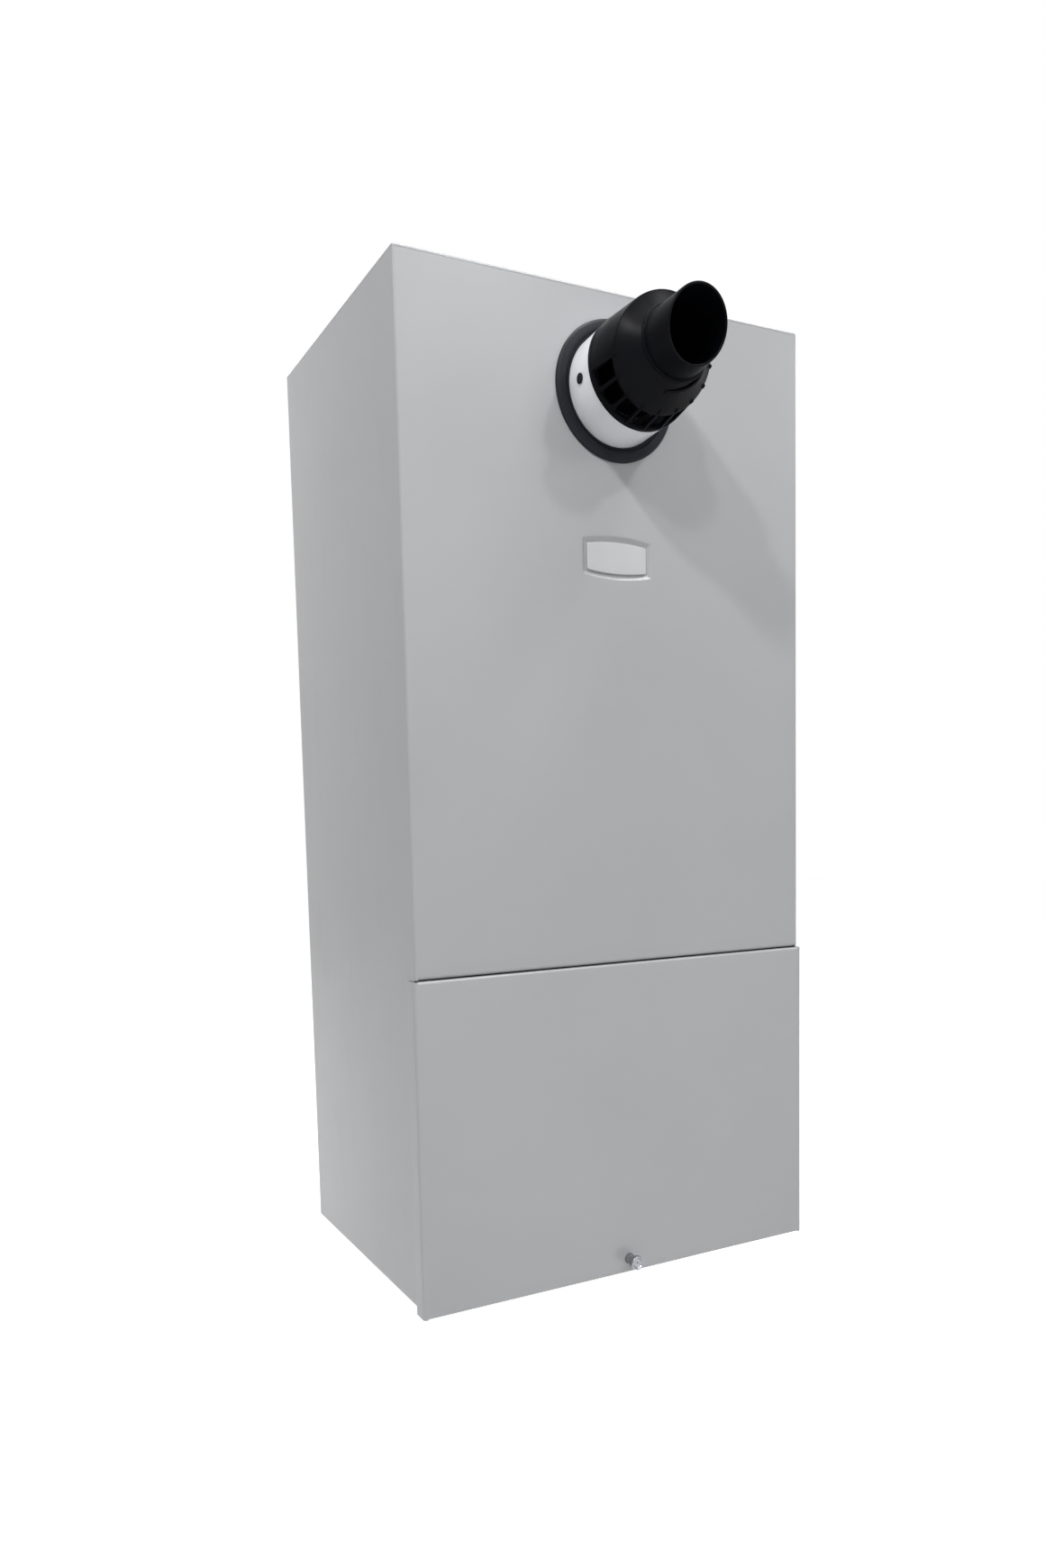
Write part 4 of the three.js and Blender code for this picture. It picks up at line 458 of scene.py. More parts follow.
# Geometry Nodes: copies of one item round an axis, and copies at marked points
def ring_tree():
    """Count copies of an item turned about Z, from a first angle and a pitch."""
    entries = [("Item", "O"), ("Count", "I"), ("First angle", "F"), ("Pitch angle", "F"), ("Finish", "M")]
    g = group("Copies round an axis", "GeometryNodeTree", entries, [("Geometry", "G")])
    line = g.add("GeometryNodeMeshLine", {"Offset": (0, 0, 0), "Count": g.entry["Count"]})
    step = g.add("ShaderNodeMath", operation="MULTIPLY_ADD")
    order = g.add("GeometryNodeInputIndex").outputs["Index"]
    for entry, value in zip(step.inputs, (order, g.entry["Pitch angle"], g.entry["First angle"])):
        g.wire(entry, value)
    swing = g.add("ShaderNodeCombineXYZ", {"Z": step.outputs["Value"]})
    return copied(g, {"Points": line.outputs["Mesh"], "Rotation": swing.outputs["Vector"]})


def marks_tree():
    """A copy of an item at every vertex of the mesh that carries the modifier."""
    entries = [("Geometry", "G"), ("Item", "O"), ("Finish", "M")]
    g = group("Copies at marks", "GeometryNodeTree", entries, [("Geometry", "G")])
    return copied(g, {"Points": g.entry["Geometry"]})


def copied(g, wires):
    """Ends a tree with its item's copies, made real and given their finish."""
    item = g.add("GeometryNodeObjectInfo", {"Object": g.entry["Item"]})
    copies = g.add("GeometryNodeInstanceOnPoints", {"Instance": item.outputs["Geometry"], **wires})
    real = g.add("GeometryNodeRealizeInstances", {"Geometry": copies.outputs["Instances"]})
    wires = {"Geometry": real.outputs["Geometry"], "Material": g.entry["Finish"]}
    coat = g.add("GeometryNodeSetMaterial", wires)
    g.wire(g.leave["Geometry"], coat.outputs["Geometry"])
    return g.tree


def grown(tree, carrier, values):
    """Runs a tree on a carrier shell and returns what it makes, as a shell."""
    host = object_of("carrier", mesh_of("carrier", carrier, tidy=False))
    made = host.modifiers.new("copies", "NODES")
    made.node_group = tree
    for entry in tree.interface.items_tree:
        if entry.item_type == "SOCKET" and entry.in_out == "INPUT" and entry.name in values:
            made[entry.identifier] = values[entry.name]
    shell = shell_of(fixed_copy(host))
    scrap(host)
    return shell


def ring_of(item_shell, count, first, pitch, finish):
    item = object_of("item", mesh_of("item", item_shell))
    shell = grown(RING, ([Vector((0, 0, 0))], []), {
        "Item": item, "Count": count, "First angle": math.radians(first), "Pitch angle": math.radians(pitch),
        "Finish": finish,
    })
    scrap(item)
    return shell


def copies_at(item_shell, marks, finish):
    item = object_of("item", mesh_of("item", item_shell))
    shell = grown(MARKS, ([Vector(m) for m in marks], []), {"Item": item, "Finish": finish})
    scrap(item)
    return shell


RING = ring_tree()
MARKS = marks_tree()


# Shader groups for the effects that several finishes share
def effect(name, entries, exits):
    return group(name, "ShaderNodeTree", entries, exits)


SURFACE = [("Vector", "V"), ("Colour", "C"), ("Second colour", "C"), ("Roughness", "F"), ("Grain size", "F"),
           ("Grain height", "F")]
RESULT = [("Colour", "C"), ("Roughness", "F"), ("Height", "F")]


def powder_coat():
    """Orange peel of stoved powder, faint panel waves, a few specks and rubbed patches."""
    g = effect("Powder coat", SURFACE + [("Wave height", "F")], RESULT)
    vector = g.entry["Vector"]
    peel = g.noise(vector, g.entry["Grain size"], 2.0, 0.45)
    wave = g.noise(vector, 3.2, 1.0, 0.4)
    cloud = g.noise(vector, 7.0, 3.0, 0.55)
    rub = g.noise(g.scaled(vector, (60, 60, 9)), 1.0, 4.0, 0.6)
    speck = g.range(g.cells(vector, 150.0), 0.05, 0.075, 1.0, 0.0)
    tint = g.range(cloud, 0.3, 0.7)
    base = g.mix(g.math("MULTIPLY", tint, 0.5), g.entry["Colour"], g.entry["Second colour"])
    spotted = g.mix(g.math("MULTIPLY", speck, 0.35), base, g.entry["Second colour"])
    g.wire(g.leave["Colour"], spotted)
    rubbed = g.range(rub, 0.52, 0.72, 0.0, 0.06)
    g.wire(g.leave["Roughness"], g.math("ADD", g.entry["Roughness"], rubbed))
    fine = g.math("MULTIPLY", peel, g.entry["Grain height"])
    broad = g.math("MULTIPLY", wave, g.entry["Wave height"])
    g.wire(g.leave["Height"], g.math("ADD", fine, broad))
    return g.tree


def metal_grain():
    """Crystal spangle or rolling grain: patches that differ in tone and gloss, with fine lines."""
    g = effect("Metal grain", SURFACE + [("Line stretch", "V")], RESULT)
    vector = g.entry["Vector"]
    spangle = g.cells(vector, g.entry["Grain size"], "Color")
    tone = g.add("ShaderNodeSeparateColor", {"Color": spangle}).outputs
    stretched = g.add("ShaderNodeVectorMath", operation="MULTIPLY")
    g.wire(stretched.inputs[0], vector)
    g.wire(stretched.inputs[1], g.entry["Line stretch"])
    lines = g.noise(stretched.outputs["Vector"], 1.0, 3.0, 0.6)
    stain = g.noise(vector, 18.0, 4.0, 0.6)
    share = g.math("ADD", g.math("MULTIPLY", tone["Red"], 0.5), g.math("MULTIPLY", lines, 0.4))
    g.wire(g.leave["Colour"], g.mix(share, g.entry["Colour"], g.entry["Second colour"]))
    patch = g.range(tone["Green"], 0.0, 1.0, -0.05, 0.08)
    dull = g.range(stain, 0.45, 0.7, 0.0, 0.12)
    g.wire(g.leave["Roughness"], g.math("ADD", g.entry["Roughness"], g.math("ADD", patch, dull)))
    g.wire(g.leave["Height"], g.math("MULTIPLY", lines, g.entry["Grain height"]))
    return g.tree


def moulded_grain():
    """Spark-eroded texture of a moulded plastic, with flow clouds and handling shine."""
    g = effect("Moulded grain", SURFACE, RESULT)
    vector = g.entry["Vector"]
    spark = g.noise(vector, g.entry["Grain size"], 3.0, 0.6)
    pits = g.range(g.cells(vector, g.entry["Grain size"]), 0.1, 0.6)
    flow = g.noise(g.scaled(vector, (14, 14, 5)), 1.0, 3.0, 0.5)
    hands = g.noise(vector, 28.0, 3.0, 0.55)
    g.wire(g.leave["Colour"], g.mix(g.range(flow, 0.35, 0.7), g.entry["Colour"], g.entry["Second colour"]))
    shine = g.range(hands, 0.4, 0.65, 0.05, -0.06)
    g.wire(g.leave["Roughness"], g.math("ADD", g.entry["Roughness"], shine))
    relief = g.math("MULTIPLY", g.math("ADD", spark, pits), g.entry["Grain height"])
    g.wire(g.leave["Height"], relief)
    return g.tree


def cast_skin():
    """Sand and die cast skin: rolling pits, dark pores and bright rubbed tops."""
    g = effect("Cast skin", SURFACE, RESULT)
    vector = g.entry["Vector"]
    roll = g.noise(vector, g.entry["Grain size"], 4.0, 0.62)
    pores = g.range(g.cells(vector, 420.0), 0.12, 0.22, 1.0, 0.0)
    rare = g.range(g.noise(vector, 90.0, 1.0), 0.52, 0.6)
    hole = g.math("MULTIPLY", pores, rare)
    g.wire(g.leave["Colour"], g.mix(g.math("MAXIMUM", hole, g.range(roll, 0.35, 0.65)), g.entry["Colour"],
                                    g.entry["Second colour"]))
    g.wire(g.leave["Roughness"], g.math("ADD", g.entry["Roughness"], g.range(roll, 0.3, 0.7, -0.06, 0.1)))
    sunk = g.math("SUBTRACT", roll, hole)
    g.wire(g.leave["Height"], g.math("MULTIPLY", sunk, g.entry["Grain height"]))
    return g.tree


def woven_braid():
    """Crossed wire strands round a hose, from two slanted waves."""
    g = effect("Woven braid", SURFACE, RESULT)
    vector = g.entry["Vector"]
    bands = []
    for slant in (1, -1):
        tilted = g.add("ShaderNodeMapping", {"Vector": vector, "Rotation": (0.9, 0.7 * slant, 0.8 * slant)})
        wires = {"Vector": tilted.outputs["Vector"], "Scale": g.entry["Grain size"]}
        band = g.add("ShaderNodeTexWave", wires)
        bands.append(band.outputs["Fac"])
    weave = g.math("MAXIMUM", bands[0], bands[1])
    g.wire(g.leave["Colour"], g.mix(weave, g.entry["Second colour"], g.entry["Colour"]))
    g.wire(g.leave["Roughness"], g.math("ADD", g.entry["Roughness"], g.range(weave, 0.2, 0.9, 0.2, 0.0)))
    g.wire(g.leave["Height"], g.math("MULTIPLY", weave, g.entry["Grain height"]))
    return g.tree


def worn_dust():
    """Dust that settles in patches, and lighter rubs, laid over a finish's own colour."""
    entries = [("Vector", "V"), ("Colour", "C"), ("Dust colour", "C"), ("Roughness", "F"), ("Amount", "F")]
    g = effect("Settled dust", entries, RESULT[:2])
    vector = g.entry["Vector"]
    broad = g.noise(vector, 11.0, 5.0, 0.65)
    fine = g.noise(vector, 900.0, 2.0, 0.6)
    normal = g.add("ShaderNodeNewGeometry").outputs["Normal"]
    upward = g.add("ShaderNodeSeparateXYZ", {"Vector": normal}).outputs["Z"]
    lying = g.range(upward, -0.2, 0.9, 0.25, 1.0)
    mask = g.math("MULTIPLY", g.range(broad, 0.42, 0.68), g.range(fine, 0.3, 0.75))
    mask = g.math("MULTIPLY", g.math("MULTIPLY", mask, lying), g.entry["Amount"])
    g.wire(g.leave["Colour"], g.mix(mask, g.entry["Colour"], g.entry["Dust colour"]))
    g.wire(g.leave["Roughness"], g.math("ADD", g.entry["Roughness"], g.math("MULTIPLY", mask, 0.3)))
    return g.tree


EFFECTS = {
    "powder": powder_coat(), "metal": metal_grain(), "moulded": moulded_grain(), "cast": cast_skin(),
    "braid": woven_braid(), "dust": worn_dust(),
}
DUST_COLOUR = "A8A49C"


def tone(code):
    """A colour written as six hexadecimal digits, as linear light."""
    values = [int(code[i:i + 2], 16) / 255 for i in (0, 2, 4)]
    return (*[v / 12.92 if v <= 0.04045 else ((v + 0.055) / 1.055) ** 2.4 for v in values], 1)


def finish(name, slot, kind, colour, second, rough, grain, height, metal=0.0, dust=0.0, extra=None, **shader):
    """A material made of one surface effect, a little dust and the Principled shader."""
    material = bpy.data.materials.new(name)
    material.use_nodes = True
    material.node_tree.nodes.clear()
    g = Graph(material.node_tree)
    place_on = g.add("ShaderNodeTexCoord").outputs["Object"]
    skin = g.add("ShaderNodeGroup", {
        "Vector": place_on, "Colour": tone(colour), "Second colour": tone(second), "Roughness": rough,
        "Grain size": grain, "Grain height": height * MILLIMETRE, **(extra or {}),
    }, node_tree=EFFECTS[kind]).outputs
    laid = g.add("ShaderNodeGroup", {
        "Vector": place_on, "Colour": skin["Colour"], "Dust colour": tone(DUST_COLOUR),
        "Roughness": skin["Roughness"], "Amount": dust,
    }, node_tree=EFFECTS["dust"]).outputs
    bump = g.add("ShaderNodeBump", {"Height": skin["Height"], "Distance": 1.0, "Strength": 1.0})
    surface = g.add("ShaderNodeBsdfPrincipled", {
        "Base Color": laid["Colour"], "Roughness": laid["Roughness"], "Normal": bump.outputs["Normal"],
        "Metallic": metal, **{label.replace("_", " "): value for label, value in shader.items()},
    })
    g.add("ShaderNodeOutputMaterial", {"Surface": surface.outputs["BSDF"]})
    return material


PAINT = finish("Grey powder coat", "casing_paint", "powder", "B3B4B6", "ADAEB0", 0.36, 900, 0.008,
               extra={"Wave height": 0.00012}, Coat_Weight=0.3, Coat_Roughness=0.13,
               Specular_IOR_Level=0.35)
GALVANISED = finish("Galvanised sheet", "galvanised_steel", "metal", "B4B8BB", "8F9498", 0.38, 110, 0.004,
                    metal=0.9, dust=0.25, extra={"Line stretch": (500, 500, 60)})
ZINC = finish("Bright zinc plate", "zinc_plate", "metal", "A2A4A8", "88898D", 0.3, 900, 0.002, metal=0.9,
              extra={"Line stretch": (900, 900, 900)})
BADGE_COAT = finish("Badge plate", "badge_plastic", "moulded", "CDCED0", "C7C8CA", 0.34, 1500, 0.003)
RUBBER = finish("Seal rubber", "seal_rubber", "moulded", "1D1E24", "23242B", 0.46, 1300, 0.012, dust=0.04,
                Specular_IOR_Level=0.12)
ENAMEL = finish("White duct enamel", "duct_enamel", "powder", "F1F2F5", "E6E8EC", 0.3, 1200, 0.004,
                extra={"Wave height": 0.00004}, Coat_Weight=0.2)
TERMINAL = finish("Black terminal plastic", "terminal_plastic", "moulded", "05060A", "090A0F", 0.34, 1400,
                  0.006, dust=0.02, Specular_IOR_Level=0.06)
STAINLESS = finish("Stainless steel", "stainless_steel", "metal", "C4C6C8", "A6A8AB", 0.26, 60, 0.003,
                   metal=1.0, extra={"Line stretch": (40, 900, 900)})
CAST = finish("Cast aluminium", "cast_aluminium", "cast", "A9ACB0", "85888D", 0.46, 650, 0.05, metal=0.85,
              dust=0.2)
GASKET = finish("Fibre gasket", "fibre_gasket", "cast", "DAD5C8", "BFB8A8", 0.88, 1600, 0.08)
CERAMIC = finish("Glazed ceramic", "ceramic", "moulded", "F2EEE4", "E6DFD0", 0.22, 500, 0.004,
                 Coat_Weight=0.5)
BLACK_PLASTIC = finish("Black plastic", "black_plastic", "moulded", "1E2024", "282A2F", 0.46, 1300, 0.01,
                       dust=0.1)
GREY_PLASTIC = finish("Grey plastic", "grey_plastic", "moulded", "6F7378", "666A6F", 0.48, 1200, 0.01,
                      dust=0.12)
MOTOR_PAINT = finish("Motor enamel", "motor_paint", "powder", "2C3036", "24272D", 0.4, 800, 0.014, dust=0.15,
                     extra={"Wave height": 0.0}, metal=0.1)
BRASS = finish("Machined brass", "brass", "metal", "C2A35C", "9E7F3E", 0.28, 160, 0.003, metal=1.0,
               extra={"Line stretch": (80, 80, 1400)})
COPPER = finish("Drawn copper", "copper", "metal", "C07A52", "9C5A3A", 0.3, 90, 0.002, metal=1.0,
                extra={"Line stretch": (700, 700, 30)})
VESSEL_RED = finish("Vessel enamel", "vessel_paint", "powder", "8F2F28", "7C2722", 0.36, 800, 0.016, dust=0.2,
                    extra={"Wave height": 0.0001})
BRAID = finish("Braided hose", "braided_hose", "braid", "B2B7BC", "4A4E53", 0.36, 260, 0.25, metal=0.8)
TRAP_WHITE = finish("Trap plastic", "trap_plastic", "moulded", "E7E7E3", "DADAD5", 0.45, 1000, 0.01, dust=0.2,
                    Subsurface_Weight=0.05)
RED_PLASTIC = finish("Red plastic", "red_plastic", "moulded", "A62722", "94201C", 0.36, 1300, 0.008)
BLUE_PLASTIC = finish("Blue plastic", "blue_plastic", "moulded", "2B4F8F", "24447E", 0.36, 1300, 0.008)
YELLOW_PLASTIC = finish("Yellow plastic", "yellow_plastic", "moulded", "D1A728", "BE951F", 0.36, 1300, 0.008)
BOARD_GREEN = finish("Circuit board", "circuit_green", "moulded", "1F5A3C", "1A4C33", 0.4, 700, 0.006)
GAUGE_WHITE = finish("Gauge face", "gauge_face", "moulded", "F2F2EE", "EAEAE5", 0.36, 900, 0.003)
DARK_MARK = finish("Printed marks", "black_plastic", "moulded", "18191C", "202226", 0.5, 900, 0.002)
WHITE_MARK = finish("Pale marks", "gauge_face", "moulded", "E8E8E6", "DDDDDA", 0.5, 900, 0.002)


def lens_glass():
    """Clear gauge lens, thin enough to see the needle through."""
    material = bpy.data.materials.new("Gauge lens")
    material.use_nodes = True
    surface = material.node_tree.nodes["Principled BSDF"]
    surface.inputs["Base Color"].default_value = (0.95, 0.97, 0.97, 1)
    surface.inputs["Roughness"].default_value = 0.04
    surface.inputs["Transmission Weight"].default_value = 0.95
    surface.inputs["IOR"].default_value = 1.12
    surface.inputs["Alpha"].default_value = 0.35
    return material


LENS = lens_glass()


# The casing
def pillow(width, side, middle):
    """Straight sides and bowed top and bottom, with the corners a little eased."""
    points, steps = [], 20
    bow = (middle - side) / 2
    for way in (1, -1):
        for k in range(steps + 1):
            share = 2 * k / steps - 1
            points.append((-way * share * width / 2, way * (side / 2 + bow * (1 - share * share))))
    return points


def soft_pillow(width, side, middle, corner):
    """The bowed outline with its four corners rounded and its shallow bow left as it is."""
    loop = pillow(width, side, middle)
    loop.append(loop[0])
    return eased([(x, y, corner if abs(abs(x) - width / 2) < 1e-6 else 0.001) for x, y in loop], corner)[:-1]


def badge_outline(grow):
    corner = max(3.2 + grow / 2, 0.6)
    return soft_pillow(BADGE["seat"] + grow, BADGE["seat_side"] + grow, BADGE["seat_middle"] + grow, corner)


def front_ring(outline, deep):
    """An outline on the casing's front, pressed in by a depth."""
    return [(x, -CASING["depth"] + deep, BADGE["height"] + z) for x, z in outline]


def pressed_seat():
    """The badge's pressed seat: a shoulder, a slope and a floor, as thick as the sheet."""
    deep, sheet = BADGE["deep"], CASING["sheet"]
    steps = [(BADGE["seat_edge"], 0), (2.4, 0), (1.5, 0.05), (0.6, 0.2), (-0.2, 0.5), (-4.6, deep - 0.45),
             (-5.6, deep - 0.14), (-6.6, deep - 0.03), (-7.8, deep)]
    face = [front_ring(badge_outline(grow), y) for grow, y in steps]
    back = [front_ring(badge_outline(grow), y + sheet) for grow, y in steps]
    return loft(face[::-1] + back)


def casing_wrap():
    """Sides and upper front in one folded sheet, with its lip, reliefs, flue hole and badge seat."""
    c = CASING
    half, depth, sheet, bend = c["half"], c["depth"], c["sheet"], c["bend"]
    height = c["height"] - LID["rim"] - LID["gap"]
    walls = prism(folded([
        (-half + c["flange"], 0), (-half, 0), (-half, -depth), (half, -depth), (half, 0),
        (half - c["flange"], 0),
    ]), height)
    seam = COVER["seam"]
    lip_top = seam + c["lip_rise"]
    outside = -depth - 1
    opening = slab((-half + c["strip"], outside, -1), (half - c["strip"], -depth + bend + 0.6, lip_top), 0)
    band = slab((-half + bend, outside, seam), (half - bend, -depth + sheet + 0.3, lip_top), 0)
    reliefs = []
    for x in (-half, half):
        low = (x - c["notch_half"], outside, COVER["top"] - c["notch"])
        reliefs.append(slab(low, (x + c["notch_half"], -depth + bend, seam), 0))
    flue_hole = moved(rod(FLUE["hole"], 6, 0, 96), on_front(FLUE["height"], -4))
    edge = front_ring(badge_outline(BADGE["seat_edge"]), 0)
    window = loft([[(x, y, z) for x, _, z in edge] for y in (-depth - 2, -depth + 2)])
    skin = carved(walls, opening, band, *reliefs, flue_hole, window)
    lower = across(folded([(-depth, lip_top), (-depth, seam), (-depth + c["lip"], seam)]), 2 * (half - bend))
    return together(skin, lower, pressed_seat())


def plan_ring(inset, z):
    """The casing's plan at a height, drawn in by an inset."""
    half = CASING["half"] - inset
    radius = max(CASING["bend"] - inset, 0.5)
    outline = rounded(-half, half, -CASING["depth"] + inset, -inset, radius, 8)
    return [(x, y, z) for x, y in outline]


def casing_lid():
    """Lid with a rolled rim on the walls and a flange down inside them."""
    top = CASING["height"]
    rim, hem, sheet = LID["rim"], LID["hem"], CASING["sheet"]
    plate = loft([
        plan_ring(hem, top - sheet), plan_ring(hem, top - rim), plan_ring(0.3, top - rim),
        plan_ring(0.08, top - rim + 0.08), plan_ring(0, top - rim + 0.3), plan_ring(0, top - 2.2),
        plan_ring(0.17, top - 1.36), plan_ring(0.64, top - 0.64), plan_ring(1.36, top - 0.17),
        plan_ring(2.2, top), plan_ring(4, top),
    ])
    inside = sheet + 0.5
    flange = loft([plan_ring(inset, z) for inset, z in (
        (inside, top - 2), (inside, top - LID["flange"]), (inside + sheet, top - LID["flange"]),
        (inside + sheet, top - 2),
    )], closed=True)
    return together(plate, flange)


def service_cover():
    """Shallow folded tray proud of the casing, with corner reliefs and a clearance hole."""
    half = CASING["half"] + COVER["proud"]
    front = -CASING["depth"] - COVER["proud"]
    rear = -CASING["depth"] + COVER["side"]
    inner = CASING["half"] - CASING["sheet"] - 0.5
    high, low = COVER["top"], COVER["low"]
    left, right = (moved(prism(folded(corners), high - low), place(0, 0, low)) for corners in (
        [(-half, rear), (-half, front), (-inner, front)], [(inner, front), (half, front), (half, rear)],
    ))
    web = across(folded([
        (front + COVER["edge"], high), (front, high), (front, low), (front + COVER["edge"], low),
    ], bend=COVER["bend"]), 2 * inner)
    hole = moved(rod(SCREW["barrel"] + 0.3, 8, 0), on_front(SCREW["height"], COVER["proud"] - 4))
    return together(left, right, carved(web, hole))


def badge_plate():
    """Blank plate with bowed edges, a soft bevel and a slightly crowned face."""
    back = -CASING["depth"] + BADGE["deep"] - 0.3
    rings = []
    for grow, rise in ((-0.8, 0), (-0.2, 0.12), (0, 0.5), (0, 1.3), (-0.25, 1.62), (-0.8, 1.8), (-2.4, 1.87),
                       (-10, 1.95), (-18, 2.0)):
        outline = soft_pillow(BADGE["width"] + grow, BADGE["side"] + grow, BADGE["middle"] + grow,
                              max(2 + grow / 2, 0.5))
        rings.append([(x, back - rise, BADGE["height"] + z) for x, z in outline])
    return loft(rings)


HEAD_HEIGHT = 4.5


def cross_screw(head, recess, depth, reach, shank, top):
    """Pan head with a cross recess, on its shank. Its axis is Z and the head faces up."""
    seat = top - HEAD_HEIGHT
    dish = top - 0.24 * head
    body = turned([(0, -reach), (shank - 1, -reach), (shank, -reach + 1), (shank, seat), (head, seat),
                   (head, top - 1.4, 0.7), (head - 0.5, top, 0.5), (0.76 * head, top, 0.3),
                   (0.6 * head, dish, 0.4), (0, dish)], 0.3)
    floor, mouth = (0.7, 0.4, top - depth), (recess, 0.75, top + 1)
    wedge = loft([[(-r, -w, z), (r, -w, z), (r, w, z), (-r, w, z)] for r, w, z in (floor, mouth)])
    return carved(body, *[moved(wedge, turn(angle, "Z")) for angle in (0, 90)])


def cover_screw():
    """The captive screw with its washer, standing on the ferrule."""
    top = SCREW["barrel_end"] + 0.3 + HEAD_HEIGHT
    shank, head = SCREW["shank"], SCREW["head"]
    screw = cross_screw(head, SCREW["recess"], SCREW["recess_deep"], SCREW["reach"], shank, top)
    low, high = top - HEAD_HEIGHT, top - HEAD_HEIGHT + 1
    washer = turned([(shank, low), (head, low), (head, high), (shank, high), (shank, low)], 0.3)
    return moved(together(screw, washer), on_front(SCREW["height"]))


def screw_ferrule():
    """Flanged sleeve in the cover, which the screw's head stands on."""
    bore = SCREW["shank"] + 0.4
    back = COVER["proud"] - CASING["sheet"] - 0.3
    barrel, end = SCREW["barrel"], SCREW["barrel_end"]
    low, flange = back - 1.6, SCREW["flange"]
    shell = turned([(bore, low), (flange, low), (flange, back), (barrel, back), (barrel, end - 1.4),
                    (barrel - 0.5, end - 1.1), (barrel, end - 0.8), (barrel, end), (bore, end),
                    (bore, low)], 0.25)
    return moved(shell, on_front(SCREW["height"]))


# The flue, along its own tilted axis
CAGE = dict(near=49.6, far=46.2, start=41.3, end=77.3, front=92, wall=2.4, rim=3.4, hood=1.1, first=198,
            pitch=20.6, windows=8, slant=math.tan(math.radians(15)), highest=math.radians(72), open=31.3)
PLUG = dict(angle=185.5, along=21)


def leaning(shell):
    """The cage's straight form, drawn out so that its rim and face slant up towards the upper right."""
    c = CAGE
    edge = c["far"] + 1.2
    points, faces = shell
    out = []
    for p in points:
        radius = math.hypot(p[0], p[1])
        swing = math.cos(math.atan2(p[1], p[0]) - c["highest"])
        share = min(max((p[2] - c["start"]) / (c["end"] - c["rim"] - c["start"]), 0), 1)
        reach = radius * share
        if p[2] > c["end"] and radius < edge:
            reach = edge * max(radius - c["open"], 0) / (edge - c["open"])
        out.append(Vector((p[0], p[1], p[2] + c["slant"] * reach * swing)))
    return out, faces


def seal_ring():
    """Rubber grommet: a crowned lip outside, a groove, and a wiper that hugs the tilted duct."""
    profile = eased([
        (48, -4.2), (59, -4.2), (59, -1.2), (55.2, -1.2), (55.2, 0), (FLUE["seal"], 0),
        (FLUE["seal"], 1.4, 1), (60.6, 3.6, 1.6), (57, 4.2, 1.2), (53.9, 4.2, 0.7), (53.6, 2),
        (51.9, 2), (51.6, 3.4, 0.7), (48, 3.4), (48, -4.2),
    ], 0.4)[:-1]
    steps = 128
    rings = []
    sine, cosine = math.sin(FLUE["tilt"]), math.cos(FLUE["tilt"])
    for i in range(steps):
        angle = 2 * math.pi * i / steps
        slant = math.sin(angle) * sine
        ring = []
        for radius, z in profile:
            half_sum = z * slant * cosine
            a = 1 - slant * slant
            c = z * z * sine * sine - (FLUE["duct"] + 0.3) ** 2
            bore = (half_sum + math.sqrt(half_sum * half_sum - a * c)) / a
            reach = max(radius, bore)
            ring.append((reach * math.cos(angle), reach * math.sin(angle), z))
        rings.append(ring)
    return moved(loft(rings, closed=True), on_front(FLUE["height"]))


def at_plug(rise):
    """A place at the sampling plug, square to the duct's skin and a rise above it."""
    return turn(PLUG["angle"], "Z") @ place(FLUE["duct"] + rise, 0, PLUG["along"]) @ TO_RIGHT


def duct_tube():
    """Enamelled air duct with a rolled edge, and the hole for its sampling plug."""
    outer, low, high = FLUE["duct"], -45, 36
    inner = outer - FLUE["wall"]
    wall = [(inner, low), (outer, low), (outer, high, 0.5), (inner, high, 0.5), (inner, low)]
    shell = turned(wall, 0.4, 160)
    return moved(carved(shell, moved(rod(3.7, 8, 0, 32), at_plug(-5))), ON_FLUE)


def duct_plug():
    """Push-in plug with a thin, rounded head."""
    shell = turned([(0, -3), (3.1, -3), (3.4, -1.4), (3.4, 0.3), (4.6, 0.3), (4.6, 0.8, 0.4), (3.2, 1.15),
                    (0, 1.2)], 0.3)
    return moved(shell, ON_FLUE @ at_plug(0))


def cage_shell():
    """The terminal's cage: spigot, collar, tapering windowed skirt, rim and coned face."""
    c = CAGE
    near, far, start, end = c["near"], c["far"], c["start"], c["end"]
    profile = [
        (46.7, 26), (48.5, 26), (48.5, 36.3), (51, 36.3, 0.7), (51, start, 0.8), (near, start),
        (far, end - c["rim"]), (far + 1.2, end - c["rim"], 0.5), (far + 1.2, end - 1.1, 0.4),
        (far + 0.4, end), (far - 1.4, end + 1.6, 0.6), (39, end + 7, 3), (c["open"], c["front"], 0.8),
        (c["open"], c["front"] - 2.6), (far - c["wall"], end - 2.6), (near - c["wall"], start), (46.7, 26),
    ]
    shell = turned(profile, 0.4, 180)
    low, high = start + 1.5, end - 4
    outline = rounded(low, high, -6.8, 6.8, 3.2, 5)
    opening = loft([[(r, y, z) for z, y in outline] for r in (40, 60)])
    return carved(shell, ring_of(opening, c["windows"], c["first"], c["pitch"], TERMINAL))


